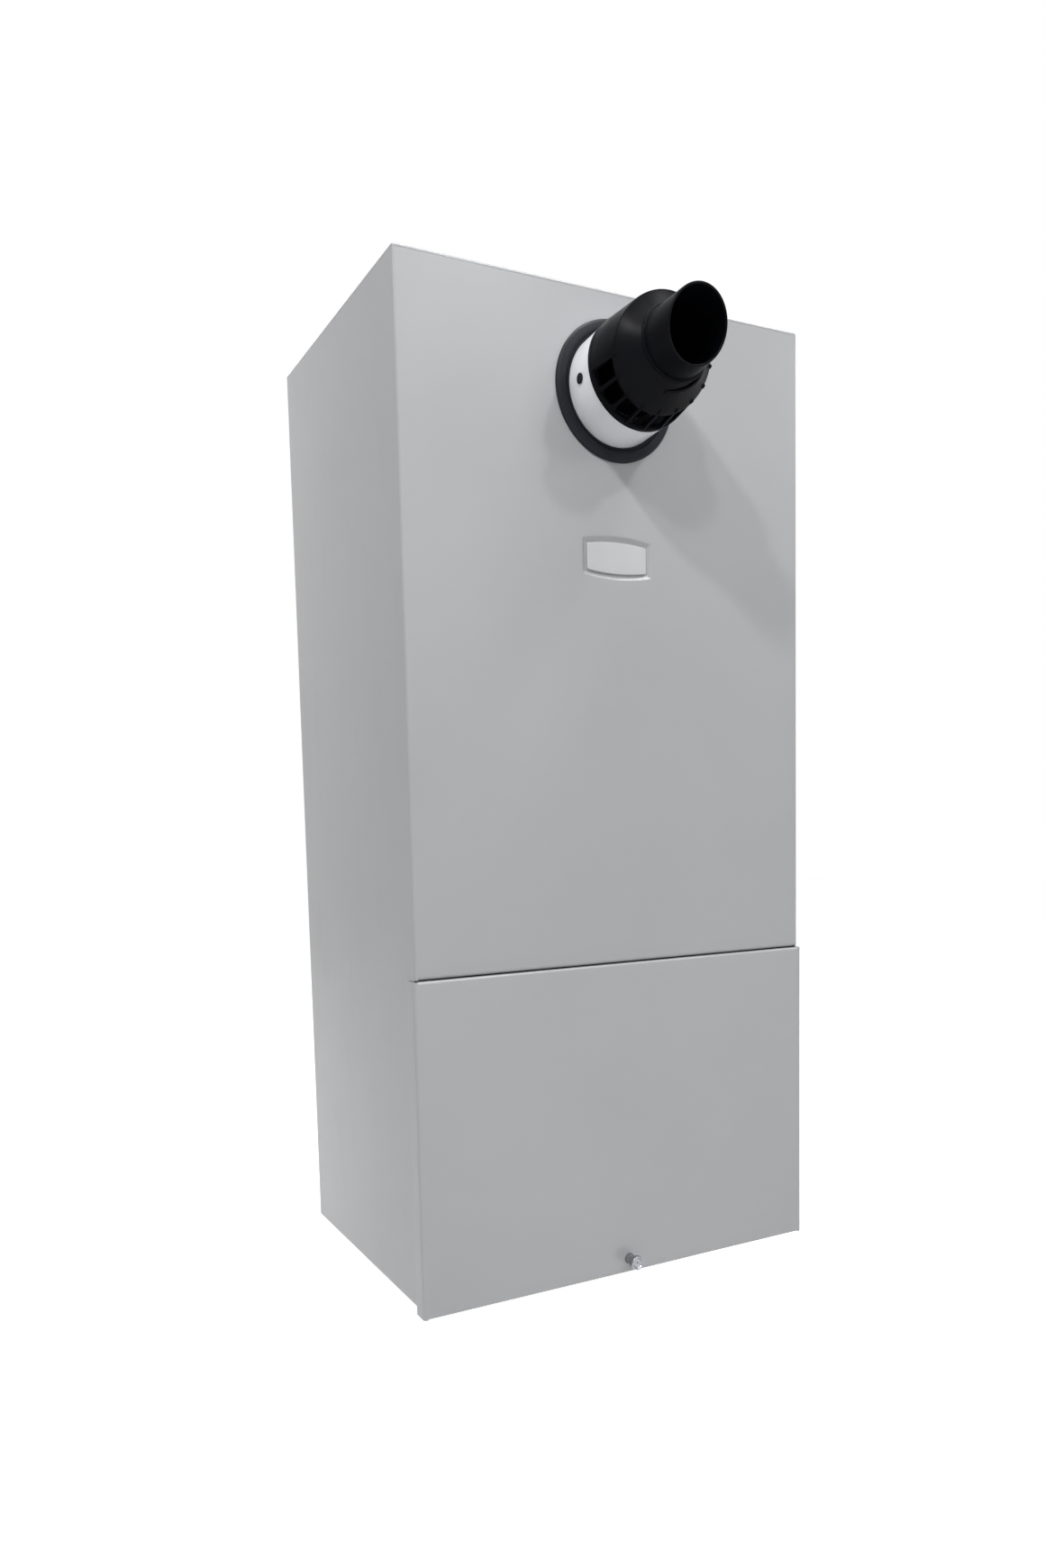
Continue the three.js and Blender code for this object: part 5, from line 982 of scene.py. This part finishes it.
def cage_ribs():
    """Rails between the windows, each with a tooth at the rim and a foot on the collar."""
    c = CAGE
    rise = 1.5
    side = eased([
        (c["near"] - 1.2, c["start"] - 0.6), (c["near"] + rise, c["start"] - 0.6, 0.4),
        (c["near"] + rise - 0.2, c["start"] + 3, 1), (c["far"] + rise, c["end"] - 4, 1),
        (c["far"] + rise, c["end"] + 1.4, 0.5), (c["far"] - 1.2, c["end"] + 1.4),
        (c["near"] - 1.2, c["start"] - 0.6),
    ], 0.3)[:-1]
    rings = []
    for y, drop in ((-1.3, 0.35), (-1.05, 0.06), (0, 0), (1.05, 0.06), (1.3, 0.35)):
        rings.append([(r - (drop if r > c["far"] + 0.5 else 0), y, z) for r, z in side])
    first = c["first"] - c["pitch"] / 2
    return ring_of(loft(rings), c["windows"] + 1, first, c["pitch"], TERMINAL)


def cage_hood():
    """Closed hood over the top of the cage, from the last rib round to the first."""
    c = CAGE
    first = c["first"] - c["pitch"] / 2 + c["windows"] * c["pitch"]
    last = c["first"] - c["pitch"] / 2 + 360
    section = eased([
        (c["near"] - 1.2, c["start"]), (c["near"] + c["hood"], c["start"], 0.6),
        (c["far"] + c["hood"] + 0.12, c["end"] - 1.4, 0.5), (c["far"] + 0.2, c["end"] - 0.3),
        (c["far"] - 1.2, c["end"]), (c["near"] - 1.2, c["start"]),
    ], 0.3)[:-1]
    rings = []
    steps = 72
    for k in range(steps + 1):
        angle = math.radians(first + (last - first) * k / steps)
        rings.append([(r * math.cos(angle), r * math.sin(angle), z) for r, z in section])
    return loft(rings)


def deflector():
    """Curved rib low on the coned face, which falls away outwards by its slope."""
    first, sweep, steps = -98, 72, 36
    slope, width, root, swell = 0.913, 1.9, 1.2, 2.2
    rings = []
    for k in range(steps + 1):
        share = k / steps
        angle = math.radians(first + sweep * share)
        inner = 36.4 - 2.2 * share
        outer = inner + width
        base = CAGE["front"] - slope * (inner - CAGE["open"]) - root
        lift = root + swell * math.sin(math.pi * share) ** 0.5
        crest = base + lift
        section = ((inner, base), (inner + 0.25, crest), (outer - 0.35, crest - 0.2), (outer, base - 1))
        rings.append([(r * math.cos(angle), r * math.sin(angle), z) for r, z in section])
    return loft(rings)


def terminal_cage():
    return moved(leaning(together(cage_shell(), cage_ribs(), cage_hood(), deflector())), ON_FLUE)


def exhaust_spout():
    """Exhaust spout: a socket over the flue pipe, a stepped collar and a slanted, eased mouth."""
    slant = math.tan(math.radians(18.8))
    base, tip, wall, length = 31, 29.6, 2.2, 126
    bore, socket, collar, roll = 30.3, 32.5, 33.4, 1.1
    low, shoulder, neck = 24, 52, 58
    front = CAGE["front"] + 0.3
    path = eased([
        (bore, low), (socket, low), (socket, shoulder), (base, neck), (base, front), (collar, front, 0.8),
        (collar, front + 3, 0.9), (base + 0.1, front + 3, 0.4), (tip, length - roll),
    ], 0.5)[:-1]
    inside = [(base - wall, neck), (bore, shoulder)]
    steps, roll_steps = 128, 6
    rings = []
    for i in range(steps):
        angle = 2 * math.pi * i / steps
        cosine, sine = math.cos(angle), math.sin(angle)
        edge = []
        for k in range(roll_steps + 1):
            turn_of = math.pi * k / roll_steps
            r = tip - wall / 2 + wall / 2 * math.cos(turn_of)
            edge.append((r, length - roll + slant * tip * sine + roll * math.sin(turn_of)))
        rings.append([(r * cosine, r * sine, z) for r, z in path + edge + inside])
    return moved(loft(rings, closed=True), ON_FLUE)


def flue_pipe():
    return moved(tube(FLUE["pipe"], FLUE["pipe"] - FLUE["wall"], -150, 50, 0.3, 96), ON_FLUE)


# Pipes, cocks and the rest of the lower bay
RAIL_TOP = 61.5
JOINT_GAP = 0.3
COCK = dict(tall=58, stem=23, nut=16.5, handle_out=21.3)
MANIFOLD_TALL = 44
PUMP_HALF = 70
RELIEF_HEIGHT = 142
COCK_TOP = RAIL_TOP + COCK["tall"]
MANIFOLD_LOW = COCK_TOP + JOINT_GAP
PUMP_HEIGHT = MANIFOLD_LOW + MANIFOLD_TALL + JOINT_GAP + PUMP_HALF
STEM_HEIGHT = RAIL_TOP + COCK["stem"]


def isolating_cock(side):
    """Forged cock: male tail, back nut, collar, ball, union nut and the stem boss."""
    hexagon, tall = COCK["nut"], COCK["tall"]
    body = together(
        turned([(8, -38), (11, -38, 0.8), (11, -14), (12, -13), (12, 0), (8, 0), (8, -38)], 0.4),
        moved(nut(hexagon, 12), place(0, 0, -13.5)),
        nut(hexagon, 8),
        turned([(0, 7), (13, 7), (13, 9), (17, 15.5, 5), (17, 30.5, 5), (13, 37), (13, 39), (0, 39)], 2),
        turned([(0, 36), (11, 36), (11, 48), (0, 48)], 0.5),
        moved(nut(hexagon, 12), place(0, 0, tall - 12)),
        turned([(0, tall - 1), (10, tall - 1), (10, tall), (0, tall)], 0.3),
        moved(turned([(3.6, 8), (8.5, 8), (8.5, 18), (7.4, 21, 0.8), (3.6, 21), (3.6, 8)], 0.4),
              place(0, 0, COCK["stem"]) @ TO_FRONT),
    )
    return moved(body, in_row(side, RAIL_TOP))


def thread_rings(radius, low, high, pitch, side):
    """Pipe thread on a tail, as rolled ridges."""
    ridge = turned([(radius - 0.8, 0), (radius + 0.02, pitch * 0.5, 0.3), (radius - 0.8, pitch),
                    (radius - 1.2, pitch / 2), (radius - 0.8, 0)], 0.2, 48)
    count = int((high - low) / pitch)
    return copies_at(ridge, [(side, -PIPE_ROW["depth"], low + k * pitch) for k in range(count)], BRASS)


def cock_handle(side):
    """Butterfly handle with a hub, waisted wings and its screw."""
    outline = rounded(-4.5, 4.5, -19, 19, 3.6, 6)
    waisted = [(x * (1 - 0.18 * math.cos(math.pi * y / 38) ** 2), y) for x, y in outline]
    body = together(
        prism(waisted, 8, 1.1), turned([(0, -8), (3, -8), (3, 0), (7.5, 0), (7.5, 8, 1), (0, 8)], 0.6),
    )
    return moved(body, in_row(side, STEM_HEIGHT, COCK["handle_out"]) @ TO_FRONT)


def handle_screw(side):
    """Domed head in the middle of a handle."""
    head = turned([(0, 6), (2.6, 6), (2.6, 7.4, 0.6), (0, 7.9)], 0.3)
    return moved(head, in_row(side, STEM_HEIGHT, COCK["handle_out"]) @ TO_FRONT)


def condensate_trap():
    """Bottle trap with a ribbed cap, a seam and its outlet tail."""
    bottle = turned([
        (0, 24), (7, 24), (9, 26), (9, 203), (11, 204), (11, 206), (28, 206), (28, 214, 1), (28, 262),
        (28.6, 263), (28.6, 265), (28, 266), (28, 312, 3), (20, 320, 3), (12, 321), (10, 322), (10, 330),
        (0, 330),
    ], 1)
    cap = turned([(0, 205), (30, 205, 1), (30, 219, 1), (28, 219), (0, 219)], 0.6)
    grip = slab((29.2, -1.5, 206.5), (31, 1.5, 217.5), 0.5)
    grips = ring_of(grip, 24, 0, 15, TRAP_WHITE)
    return moved(together(bottle, cap, grips), in_row(PIPE_ROW["condensate"], 0))


def relief_valve():
    """Relief valve: barrel, hexagon, spindle, feed and its discharge pipe."""
    body = together(
        moved(turned([(0, -16), (12, -16), (14, -14), (14, 22), (12, 24), (11, 24), (11, 30), (0, 30)], 0.8),
              TO_FRONT),
        moved(rod(4, 39, 0.3), TO_FRONT),
        moved(turned([(0, 0), (10, 0), (10, 30), (9, 31), (9, 46.7), (0, 46.7)], 0.5), TO_RIGHT),
        moved(nut(13, 9), place(13, 0, 0) @ TO_RIGHT),
        moved(nut(10, 10), place(0, 0, -24)),
        moved(turned([(0, 0), (7.5, 0), (7.5, 118, 0.6), (6.3, 118), (6.3, 90), (0, 90)], 0.3), TO_BELOW),
    )
    return moved(body, in_row(PIPE_ROW["relief"], RELIEF_HEIGHT))


def fluted_knob(radius, depth, flutes, bite, finish_of):
    """Round cap with scallops bitten out of its rim by a ring of cutters, and an eased top."""
    body = turned([(0, 0), (radius, 0, 0.6), (radius, depth, 1.2), (radius - 2.4, depth + 0.01, 0.5),
                   (0, depth)], 0.6, 96)
    cutter = moved(rod(bite, depth + 2, 0, 20), place(radius + 0.45 * bite, 0, -1))
    return carved(body, ring_of(cutter, flutes, 0, 360 / flutes, finish_of))


def relief_knob():
    """Red cap with a bore for the spindle."""
    knob = carved(fluted_knob(15, 18, 8, 2.6, RED_PLASTIC), moved(rod(4.4, 10, 0), place(0, 0, -1)))
    return moved(knob, in_row(PIPE_ROW["relief"], RELIEF_HEIGHT, 30.3) @ TO_FRONT)


def return_manifold():
    """Brass block with a port boss to the left and one to the rear."""
    port = place(0, 0, RELIEF_HEIGHT - MANIFOLD_LOW)
    body = together(
        slab((-18, -17, 0), (18, 17, MANIFOLD_TALL), 2.4),
        moved(turned([(0, 0), (12, 0), (12, 22, 0.8), (9.5, 23), (0, 23)], 0.5), port @ TO_LEFT),
        moved(turned([(0, 0), (12, 0), (12, 21, 0.8), (9.5, 22), (0, 22)], 0.5), port @ turn(-90, "X")),
    )
    return moved(body, in_row(PIPE_ROW["ret"], MANIFOLD_LOW))


def pump_body():
    """Cast pump body: volute, ports above and below, union nuts and four bolt lugs."""
    volute = moved(turned([(0, -22), (30, -22, 4), (39, -16, 5), (42, -4), (42, 16, 1.5), (40, 18), (40, 22),
                           (0, 22)], 1.5), TO_FRONT)
    tall = PUMP_HALF
    ports = turned([(0, -tall), (14, -tall), (14, -50), (17, -44, 3), (17, 44, 3), (14, 50), (14, tall),
                    (0, tall)], 1)
    unions = [moved(nut(19, 12), place(0, 0, z)) for z in (-tall, tall - 12)]
    lugs = moved(ring_of(slab((34, -5, 9), (41.9, 5, 20), 1.5), 4, 45, 90, CAST), TO_FRONT)
    return moved(together(volute, ports, *unions, lugs), in_row(PIPE_ROW["ret"], PUMP_HEIGHT))


def pump_motor():
    """Finned can with its vent plug and terminal box."""
    top = 76.5
    can = turned([(0, 0), (38, 0), (38, 70, 2), (36, 76, 3), (30, 78, 2), (22, 78), (22, top), (0, top)], 0.8)
    fin = slab((33, -1.1, 6), (41.9, 1.1, 66), 0.5)
    fins = ring_of(fin, 12, 0, 30, MOTOR_PAINT)
    plug = moved(nut(9, 5.4), place(0, 0, top))
    box = slab((-68, -22, 20), (-19, 22, 50), 2.5)
    lid_line = slab((-67, -21, 49), (-36, 21, 50), 0.3)
    at = in_row(PIPE_ROW["ret"], PUMP_HEIGHT, 22) @ TO_FRONT
    return moved(together(can, fins, plug, box, lid_line), at)


def cable_gland():
    """Gland in the floor: nut, barrel, lock nut and cap."""
    side, depth = -185, -60
    body = together(
        moved(nut(13, 3), place(0, 0, -3)), turned([(4, -3), (10, -3), (10, 20), (4, 20), (4, -3)], 0.3),
        moved(nut(13, 6), place(0, 0, 1.2)),
        turned([(4, 19), (9, 19), (9, 21), (6, 24.5, 2), (4, 24.5), (4, 19)], 0.6),
    )
    return moved(body, place(side, depth, 0))


# Controls
def fascia_plate():
    """Control panel moulding with holes for its knobs, button and gauge."""
    c = CONTROLS
    outline = rounded(-c["half"], c["half"], c["low"], c["high"], 8, 8)
    plate = moved(prism(outline, c["thick"], 0.5), place(0, -c["face"] + c["thick"], 0) @ TO_FRONT)
    holes = []
    for radius, name in ((3.4, "heating"), (3.4, "water"), (7.4, "button"), (21.3, "gauge")):
        holes.append(moved(rod(radius, 6, 0, 64), on_panel(c[name], -5)))
    return carved(plate, *holes)


def fascia_screws():
    """The panel's four corner screws."""
    screw = moved(cross_screw(3.4, 1.9, 1.4, 3, 1.2, 1.9), TO_FRONT)
    c = CONTROLS
    reach, low, high = c["half"] - c["inset"], c["low"] + c["inset"], c["high"] - c["inset"]
    marks = [(x, -c["face"], z) for x in (-reach, reach) for z in (low, high)]
    return copies_at(screw, marks, ZINC)


def fascia_marks():
    """Raised scale marks round the two knobs, growing towards hot, and a plain ring round the button."""
    shells = []
    reach = CONTROLS["scale"]
    for x in (CONTROLS["heating"], CONTROLS["water"]):
        for k in range(11):
            angle = math.radians(225 - 27 * k)
            across_by, up_by = reach * math.cos(angle), reach * math.sin(angle)
            at = place(x + across_by, -CONTROLS["face"], CONTROLS["row"] + up_by) @ TO_FRONT
            shells.append(moved(rod(0.5 + 0.06 * k, 0.35, 0.1, 16), at))
    return together(*shells, moved(tube(11.4, 10.8, 0, 0.3, 0.1, 64), on_panel(CONTROLS["button"])))


def control_knob(side):
    """Knob with a skirt, a fluted grip and a raised pointer, on its shaft."""
    body = together(
        turned([(0, 0), (20, 0), (20, 2, 0.8), (18, 3, 0.8), (0, 3)], 0.5, 96),
        fluted_knob(17, 12, 10, 2.2, GREY_PLASTIC), turned([(0, -9), (3, -9), (3, 1), (0, 1)], 0.3, 32),
    )
    return moved(body, on_panel(side, JOINT_GAP))


def knob_pointer(side):
    """Raised white line on a knob."""
    pointer = slab((-1.2, 2, 10), (1.2, 14.4, 12.8), 0.5)
    return moved(pointer, on_panel(side, JOINT_GAP))


def reset_button():
    """Push button: a guide stem, a stop collar and a dished cap."""
    body = turned([(0, -10.9), (3.5, -10.9), (3.5, -4.9), (9, -4.9), (9, -3.3), (7, -3.3), (7, 4.2, 0.9),
                   (5, 4.7, 1), (0, 4.4)], 0.4, 64)
    return moved(body, on_panel(CONTROLS["button"]))


def gauge_case():
    """Gauge: case, rolled bezel and a sunk dial with its pin."""
    body = turned([(0, -20), (21, -20), (21, 0), (25, 0, 0.5), (25, 2.2, 0.9), (23, 3, 0.9), (20, 3, 0.8),
                   (19, 1.6), (19, -3), (1.4, -3), (1.4, -0.4), (0, -0.4)], 0.4, 96)
    return moved(body, on_panel(CONTROLS["gauge"]))


def gauge_dial():
    dial = turned([(1.6, 0), (18.7, 0), (18.7, 0.15), (1.6, 0.15), (1.6, 0)], 0.02, 64)
    return moved(dial, on_panel(CONTROLS["gauge"], -3.02))


def gauge_print():
    """Dial print: a scale arc with long and short ticks."""
    start, sweep, tick_count, arc_steps = 225, 270, 20, 40
    rim, thick = 17, 0.12
    shells = []
    for k in range(tick_count + 1):
        inner, half = (13.2, 0.28) if k % 5 == 0 else (14.6, 0.16)
        tick = slab((inner, -half, 0), (rim, half, thick), 0)
        shells.append(moved(tick, turn(start - sweep * k / tick_count, "Z")))
    arc = []
    for k in range(arc_steps + 1):
        angle = math.radians(start - sweep * k / arc_steps)
        arc.append([(r * math.cos(angle), r * math.sin(angle), z) for r, z in
                    ((rim, 0), (rim + 0.4, 0), (rim + 0.4, thick), (rim, thick))])
    shells.append(loft(arc))
    return moved(together(*shells), on_panel(CONTROLS["gauge"], -2.95))


def gauge_needle():
    """Tapering blade with a short tail and its hub."""
    blade = prism([(-1.3, -5), (1.3, -5), (0.45, 14.8), (-0.45, 14.8)], 0.9)
    hub = turned([(1.7, 0), (3.4, 0), (3.4, 1.0, 0.3), (1.7, 1.0), (1.7, 0)], 0.2, 40)
    return moved(together(blade, hub), on_panel(CONTROLS["gauge"], -2.7))


def gauge_lens():
    lens = turned([(0, 1.2), (19, 1.2), (19, 1.9), (0, 2.3)], 0.1, 64)
    return moved(lens, on_panel(CONTROLS["gauge"]))


CORNER_ANGLE = 38
SHEET_ANGLE = 20


def softened(node, name, finish_of, body="boiler", width=0.0, segments=2, smooth_below=CORNER_ANGLE):
    """A CAD form that only needs softer edges: a merged copy of it with eased corners."""
    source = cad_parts[node]
    mesh = source.data.copy()
    work = bmesh.new()
    work.from_mesh(mesh)
    work.transform(source.matrix_world)
    bmesh.ops.remove_doubles(work, verts=work.verts, dist=2e-6)
    bmesh.ops.dissolve_limit(work, angle_limit=math.radians(1), verts=work.verts, edges=work.edges)
    work.to_mesh(mesh)
    work.free()
    mesh.materials.clear()
    mesh.materials.append(finish_of)
    obj = object_of(name, mesh)
    if width:
        edge = obj.modifiers.new("eased edges", "BEVEL")
        edge.width = width * MILLIMETRE
        edge.segments = segments
        edge.limit_method = "ANGLE"
        edge.angle_limit = math.radians(CORNER_ANGLE)
        edge.use_clamp_overlap = True
        fixed_copy(obj)
    shade(obj.data, smooth_below)
    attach(obj, body)
    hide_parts(node)


def dress_casing():
    piece("casing_skin", casing_wrap(), PAINT, stands_for=["casing_wrap"], angle=28)
    piece("casing_lid", casing_lid(), PAINT, stands_for=["top_panel"], angle=40)
    piece("service_cover", service_cover(), PAINT, "front_cover", ["front_cover"], angle=28)
    piece("ferrule", screw_ferrule(), ZINC, "front_cover", ["screw_ferrule"])
    piece("captive_screw", cover_screw(), ZINC, "cover_screw", ["cover_screw"])
    piece("blank_badge", badge_plate(), BADGE_COAT, stands_for=["badge_plate"], angle=50)


def dress_flue():
    piece("flue_grommet", seal_ring(), RUBBER, stands_for=["flue_seal_ring"])
    piece("white_duct", duct_tube(), ENAMEL, stands_for=["air_duct"])
    piece("duct_plug", duct_plug(), RUBBER, stands_for=["sampling_plug"])
    piece("cage_body", terminal_cage(), TERMINAL, stands_for=["terminal_cage"], angle=30)
    piece("exhaust_spout", exhaust_spout(), TERMINAL, stands_for=["exhaust_nozzle"])
    piece("flue_pipe", flue_pipe(), STAINLESS, stands_for=["inner_flue_pipe"])


def dress_lower_bay():
    for key, name, finish_of in (("gas", "gas", YELLOW_PLASTIC), ("ret", "return", BLUE_PLASTIC),
                                 ("flow", "flow", RED_PLASTIC)):
        side = PIPE_ROW[key]
        thread = thread_rings(11, 25, 46, 1.8, side)
        piece(f"{name}_cock_body", together(isolating_cock(side), thread), BRASS, stands_for=[f"{name}_cock"])
        piece(f"{name}_lever", cock_handle(side), finish_of, f"{name}_handle", [f"{name}_handle"])
        piece(f"{name}_lever_screw", handle_screw(side), ZINC, f"{name}_handle")
    piece("trap_bottle", condensate_trap(), TRAP_WHITE, stands_for=["condensate_trap"])
    piece("relief_body", relief_valve(), BRASS, stands_for=["relief_valve"])
    piece("relief_cap", relief_knob(), RED_PLASTIC, "relief_knob", ["relief_knob"])
    piece("manifold_block", return_manifold(), BRASS, stands_for=["return_manifold"])
    piece("pump_casting", pump_body(), CAST, stands_for=["pump_body"])
    piece("pump_can", pump_motor(), MOTOR_PAINT, stands_for=["pump_motor"])
    piece("gland", cable_gland(), BLACK_PLASTIC, stands_for=["cable_gland"])
    lay_pipes()


def lay_pipes():
    """The copper runs and the two hoses, each through its corners from one fitting to the next."""
    row, gas, condensate = -PIPE_ROW["depth"], PIPE_ROW["gas"], PIPE_ROW["condensate"]
    ret, flow = PIPE_ROW["ret"], PIPE_ROW["flow"]
    cock_end = COCK_TOP + JOINT_GAP
    drum_side, copper = 114.3, 9
    valve, flow_depth, vessel, channel = -196, -165, -168, -28
    piece("gas_line", pipe_run([
        (gas, row, cock_end), (gas, row, 250), (gas, valve, 250), (gas, valve, 326.7),
    ], 20, copper), COPPER, stands_for=["gas_pipe"])
    piece("flow_line", pipe_run([
        (drum_side, flow_depth, 640), (flow, flow_depth, 640), (flow, flow_depth, 150), (flow, row, 150),
        (flow, row, cock_end),
    ], 20, copper), COPPER, stands_for=["flow_pipe"])
    piece("return_line", pipe_run([
        (ret, row, PUMP_HEIGHT + PUMP_HALF + JOINT_GAP), (ret, row, 580), (drum_side, row, 580),
    ], 14, copper), COPPER, stands_for=["return_pipe"])
    piece("trap_tube", pipe_run([
        (0, row, 488.7), (0, row, 410), (condensate, row, 410), (condensate, row, 330.3),
    ], 19, 10), BLACK_PLASTIC, stands_for=["trap_hose"])
    piece("vessel_line", pipe_run([
        (vessel, -140, 491.7), (vessel, -140, 470), (vessel, channel, 470), (vessel, channel, RELIEF_HEIGHT),
        (ret, channel, RELIEF_HEIGHT), (ret, -97.7, RELIEF_HEIGHT),
    ], 16, 6), BRAID, stands_for=["vessel_hose"])


def dress_controls():
    piece("fascia", fascia_plate(), BLACK_PLASTIC, stands_for=["control_fascia"])
    piece("fascia_screws", fascia_screws(), ZINC)
    piece("fascia_scale", fascia_marks(), WHITE_MARK)
    for name, side in (("heating_knob", CONTROLS["heating"]), ("water_knob", CONTROLS["water"])):
        piece(f"{name}_grip", control_knob(side), GREY_PLASTIC, name, [name])
        piece(f"{name}_mark", knob_pointer(side), WHITE_MARK, name)
    piece("reset_cap", reset_button(), RED_PLASTIC, "reset_button", ["reset_button"])
    piece("gauge_case", gauge_case(), BLACK_PLASTIC, stands_for=["pressure_gauge"])
    piece("gauge_dial", gauge_dial(), GAUGE_WHITE)
    piece("gauge_scale", gauge_print(), DARK_MARK)
    piece("gauge_pointer", gauge_needle(), RED_PLASTIC, "gauge_needle", ["gauge_needle"])
    piece("gauge_lens", gauge_lens(), LENS)


def dress_the_rest():
    for node, name, finish_of, width in (
        ("bottom_panel", "floor_pan", PAINT, 0.15), ("back_panel", "rear_pan", GALVANISED, 0.15),
        ("wall_bracket", "wall_bracket_strip", GALVANISED, 0.2),
        ("hanging_rail", "hanging_strip", GALVANISED, 0.2), ("pipe_rail", "pipe_bar", GALVANISED, 0.2),
        ("exchanger_bracket", "drum_bracket", GALVANISED, 0.2),
    ):
        softened(node, name, finish_of, width=width, smooth_below=SHEET_ANGLE)
    softened("clinch_nut", "clinch_nut_piece", ZINC, width=0.25)
    softened("flue_elbow", "elbow_tube", GREY_PLASTIC, smooth_below=40)
    softened("exchanger_shell", "drum_shell", STAINLESS, width=0.3)
    softened("exchanger_coil", "coil_ring", STAINLESS, width=0.5)
    softened("burner_gasket", "door_gasket", GASKET, width=0.3)
    softened("burner_tube", "burner_can", STAINLESS, width=0.2)
    softened("burner_door", "door_casting", CAST, width=0.8, segments=3)
    softened("ignition_electrode", "spark_electrode", CERAMIC, width=0.3)
    softened("mixing_duct", "mixing_elbow", CAST, width=0.5)
    softened("fan_housing", "fan_scroll", CAST, width=0.5)
    softened("fan_impeller", "fan_wheel", CAST, "fan_impeller", width=0.2)
    softened("fan_motor", "fan_can", MOTOR_PAINT, width=0.5)
    softened("venturi", "gas_mixer", GREY_PLASTIC, width=0.4)
    softened("gas_valve", "gas_block", CAST, width=0.8, segments=3)
    softened("expansion_vessel", "vessel_shell", VESSEL_RED, width=0.8)
    softened("air_vent", "vent_bottle", BRASS, width=0.5)
    softened("control_box", "control_tray", GREY_PLASTIC, width=0.4)
    softened("circuit_board", "circuit_card", BOARD_GREEN, width=0.3)


# Studio
def seen_or_mirrored(g):
    """1 for what the camera sees, straight or in metal or glass, and 0 for light on the object."""
    path = g.add("ShaderNodeLightPath").outputs
    mirrored = g.math("MAXIMUM", path["Is Glossy Ray"], path["Is Transmission Ray"])
    return g.math("MAXIMUM", path["Is Camera Ray"], mirrored)


def world_light():
    """Soft grey surround for the object, and plain white for what the camera sees."""
    world = bpy.data.worlds.new("Studio surround")
    scene.world = world
    world.use_nodes = True
    world.node_tree.nodes.clear()
    g = Graph(world.node_tree)
    soft = g.add("ShaderNodeBackground", {"Color": (0.97, 0.98, 1.0, 1), "Strength": 0.14})
    white = g.add("ShaderNodeBackground", {"Color": (1, 1, 1, 1), "Strength": 1.0})
    mixed = g.add("ShaderNodeMixShader", {"Fac": seen_or_mirrored(g)})
    g.wire(mixed.inputs[1], soft.outputs["Background"])
    g.wire(mixed.inputs[2], white.outputs["Background"])
    g.add("ShaderNodeOutputWorld", {"Surface": mixed.outputs["Shader"]})


def studio_floor():
    """Plain pale floor that keeps the object's shadow and reads as white to the camera."""
    material = bpy.data.materials.new("Studio floor")
    material.use_nodes = True
    material.node_tree.nodes.clear()
    g = Graph(material.node_tree)
    matt = g.add("ShaderNodeBsdfDiffuse", {"Color": (0.62, 0.62, 0.62, 1)})
    glow = g.add("ShaderNodeEmission", {"Color": (1, 1, 1, 1), "Strength": 0.9})
    lit = g.add("ShaderNodeAddShader")
    g.wire(lit.inputs[0], matt.outputs["BSDF"])
    g.wire(lit.inputs[1], glow.outputs["Emission"])
    seen = g.add("ShaderNodeMixShader", {"Fac": seen_or_mirrored(g)})
    g.wire(seen.inputs[1], matt.outputs["BSDF"])
    g.wire(seen.inputs[2], lit.outputs["Shader"])
    g.add("ShaderNodeOutputMaterial", {"Surface": seen.outputs["Shader"]})
    reach, level = 6000, -90
    corners = [(-reach, -reach, level), (reach, -reach, level), (reach, reach, level), (-reach, reach, level)]
    mesh = mesh_of("studio_floor", moved((corners, [(0, 1, 2, 3)]), MODEL), tidy=False)
    mesh.materials.append(material)
    obj = object_of("studio_floor", mesh)


def soft_light(name, at, aim, size, power):
    """A lamp panel of a width and a height, turned towards what it lights."""
    lamp = bpy.data.lights.new(name, "AREA")
    lamp.shape = "RECTANGLE"
    lamp.size = size[0]
    lamp.size_y = size[1]
    lamp.energy = power
    obj = bpy.data.objects.new(name, lamp)
    obj.location = at
    obj.rotation_euler = (Vector(aim) - Vector(at)).to_track_quat("-Z", "Y").to_euler()
    scene.collection.objects.link(obj)


def set_camera():
    data = bpy.data.cameras.new("Camera")
    data.sensor_fit = "AUTO"
    data.sensor_width = 36
    data.lens = 25.7327
    data.shift_x = 0.011288
    data.shift_y = 0.089752
    data.clip_start = 0.05
    obj = bpy.data.objects.new("Camera", data)
    obj.location = (-0.58210, -1.20089, -0.38406)
    obj.rotation_euler = (math.radians(84.76597), math.radians(1.40540), math.radians(-27.10007))
    scene.collection.objects.link(obj)
    scene.camera = obj


set_camera()
dress_casing()
dress_flue()
dress_lower_bay()
dress_controls()
dress_the_rest()
world_light()
studio_floor()
soft_light("Ceiling strip", (0.9, -0.7, 1.5), (0.2, -0.3, -0.3), (1.6, 0.2), 13)
soft_light("Broad front panel", (0.3, -2.7, 0.6), (0, -0.3, -0.3), (2.0, 1.6), 8.5)
soft_light("Tall panel at left", (-1.54, -0.97, 0), (-0.2, -0.3, -0.3), (0.06, 1.8), 1.2)
soft_light("Small key at left", (-1.65, -1.45, 1.7), (0, -0.3, -0.1), (0.16, 0.16), 26)
soft_light("Small lamp above, right", (0.65, -2.2, 1.4), (0, -0.3, -0.1), (0.14, 0.14), 9)
soft_light("Small lamp above, left", (-1.0, -1.9, 1.2), (0, -0.3, -0.1), (0.14, 0.14), 8)
soft_light("Small lamp at right", (2.2, -1.5, 0.85), (0, -0.3, -0.1), (0.3, 0.3), 4)
soft_light("Rear panel", (0.5, 2.4, 0.8), (0, 0, -0.3), (1.8, 1.4), 14)
soft_light("Strip overhead", (-0.1, -0.5, 2.1), (-0.1, -0.3, 0), (1.4, 0.15), 26)
scene.view_settings.view_transform = "Standard"
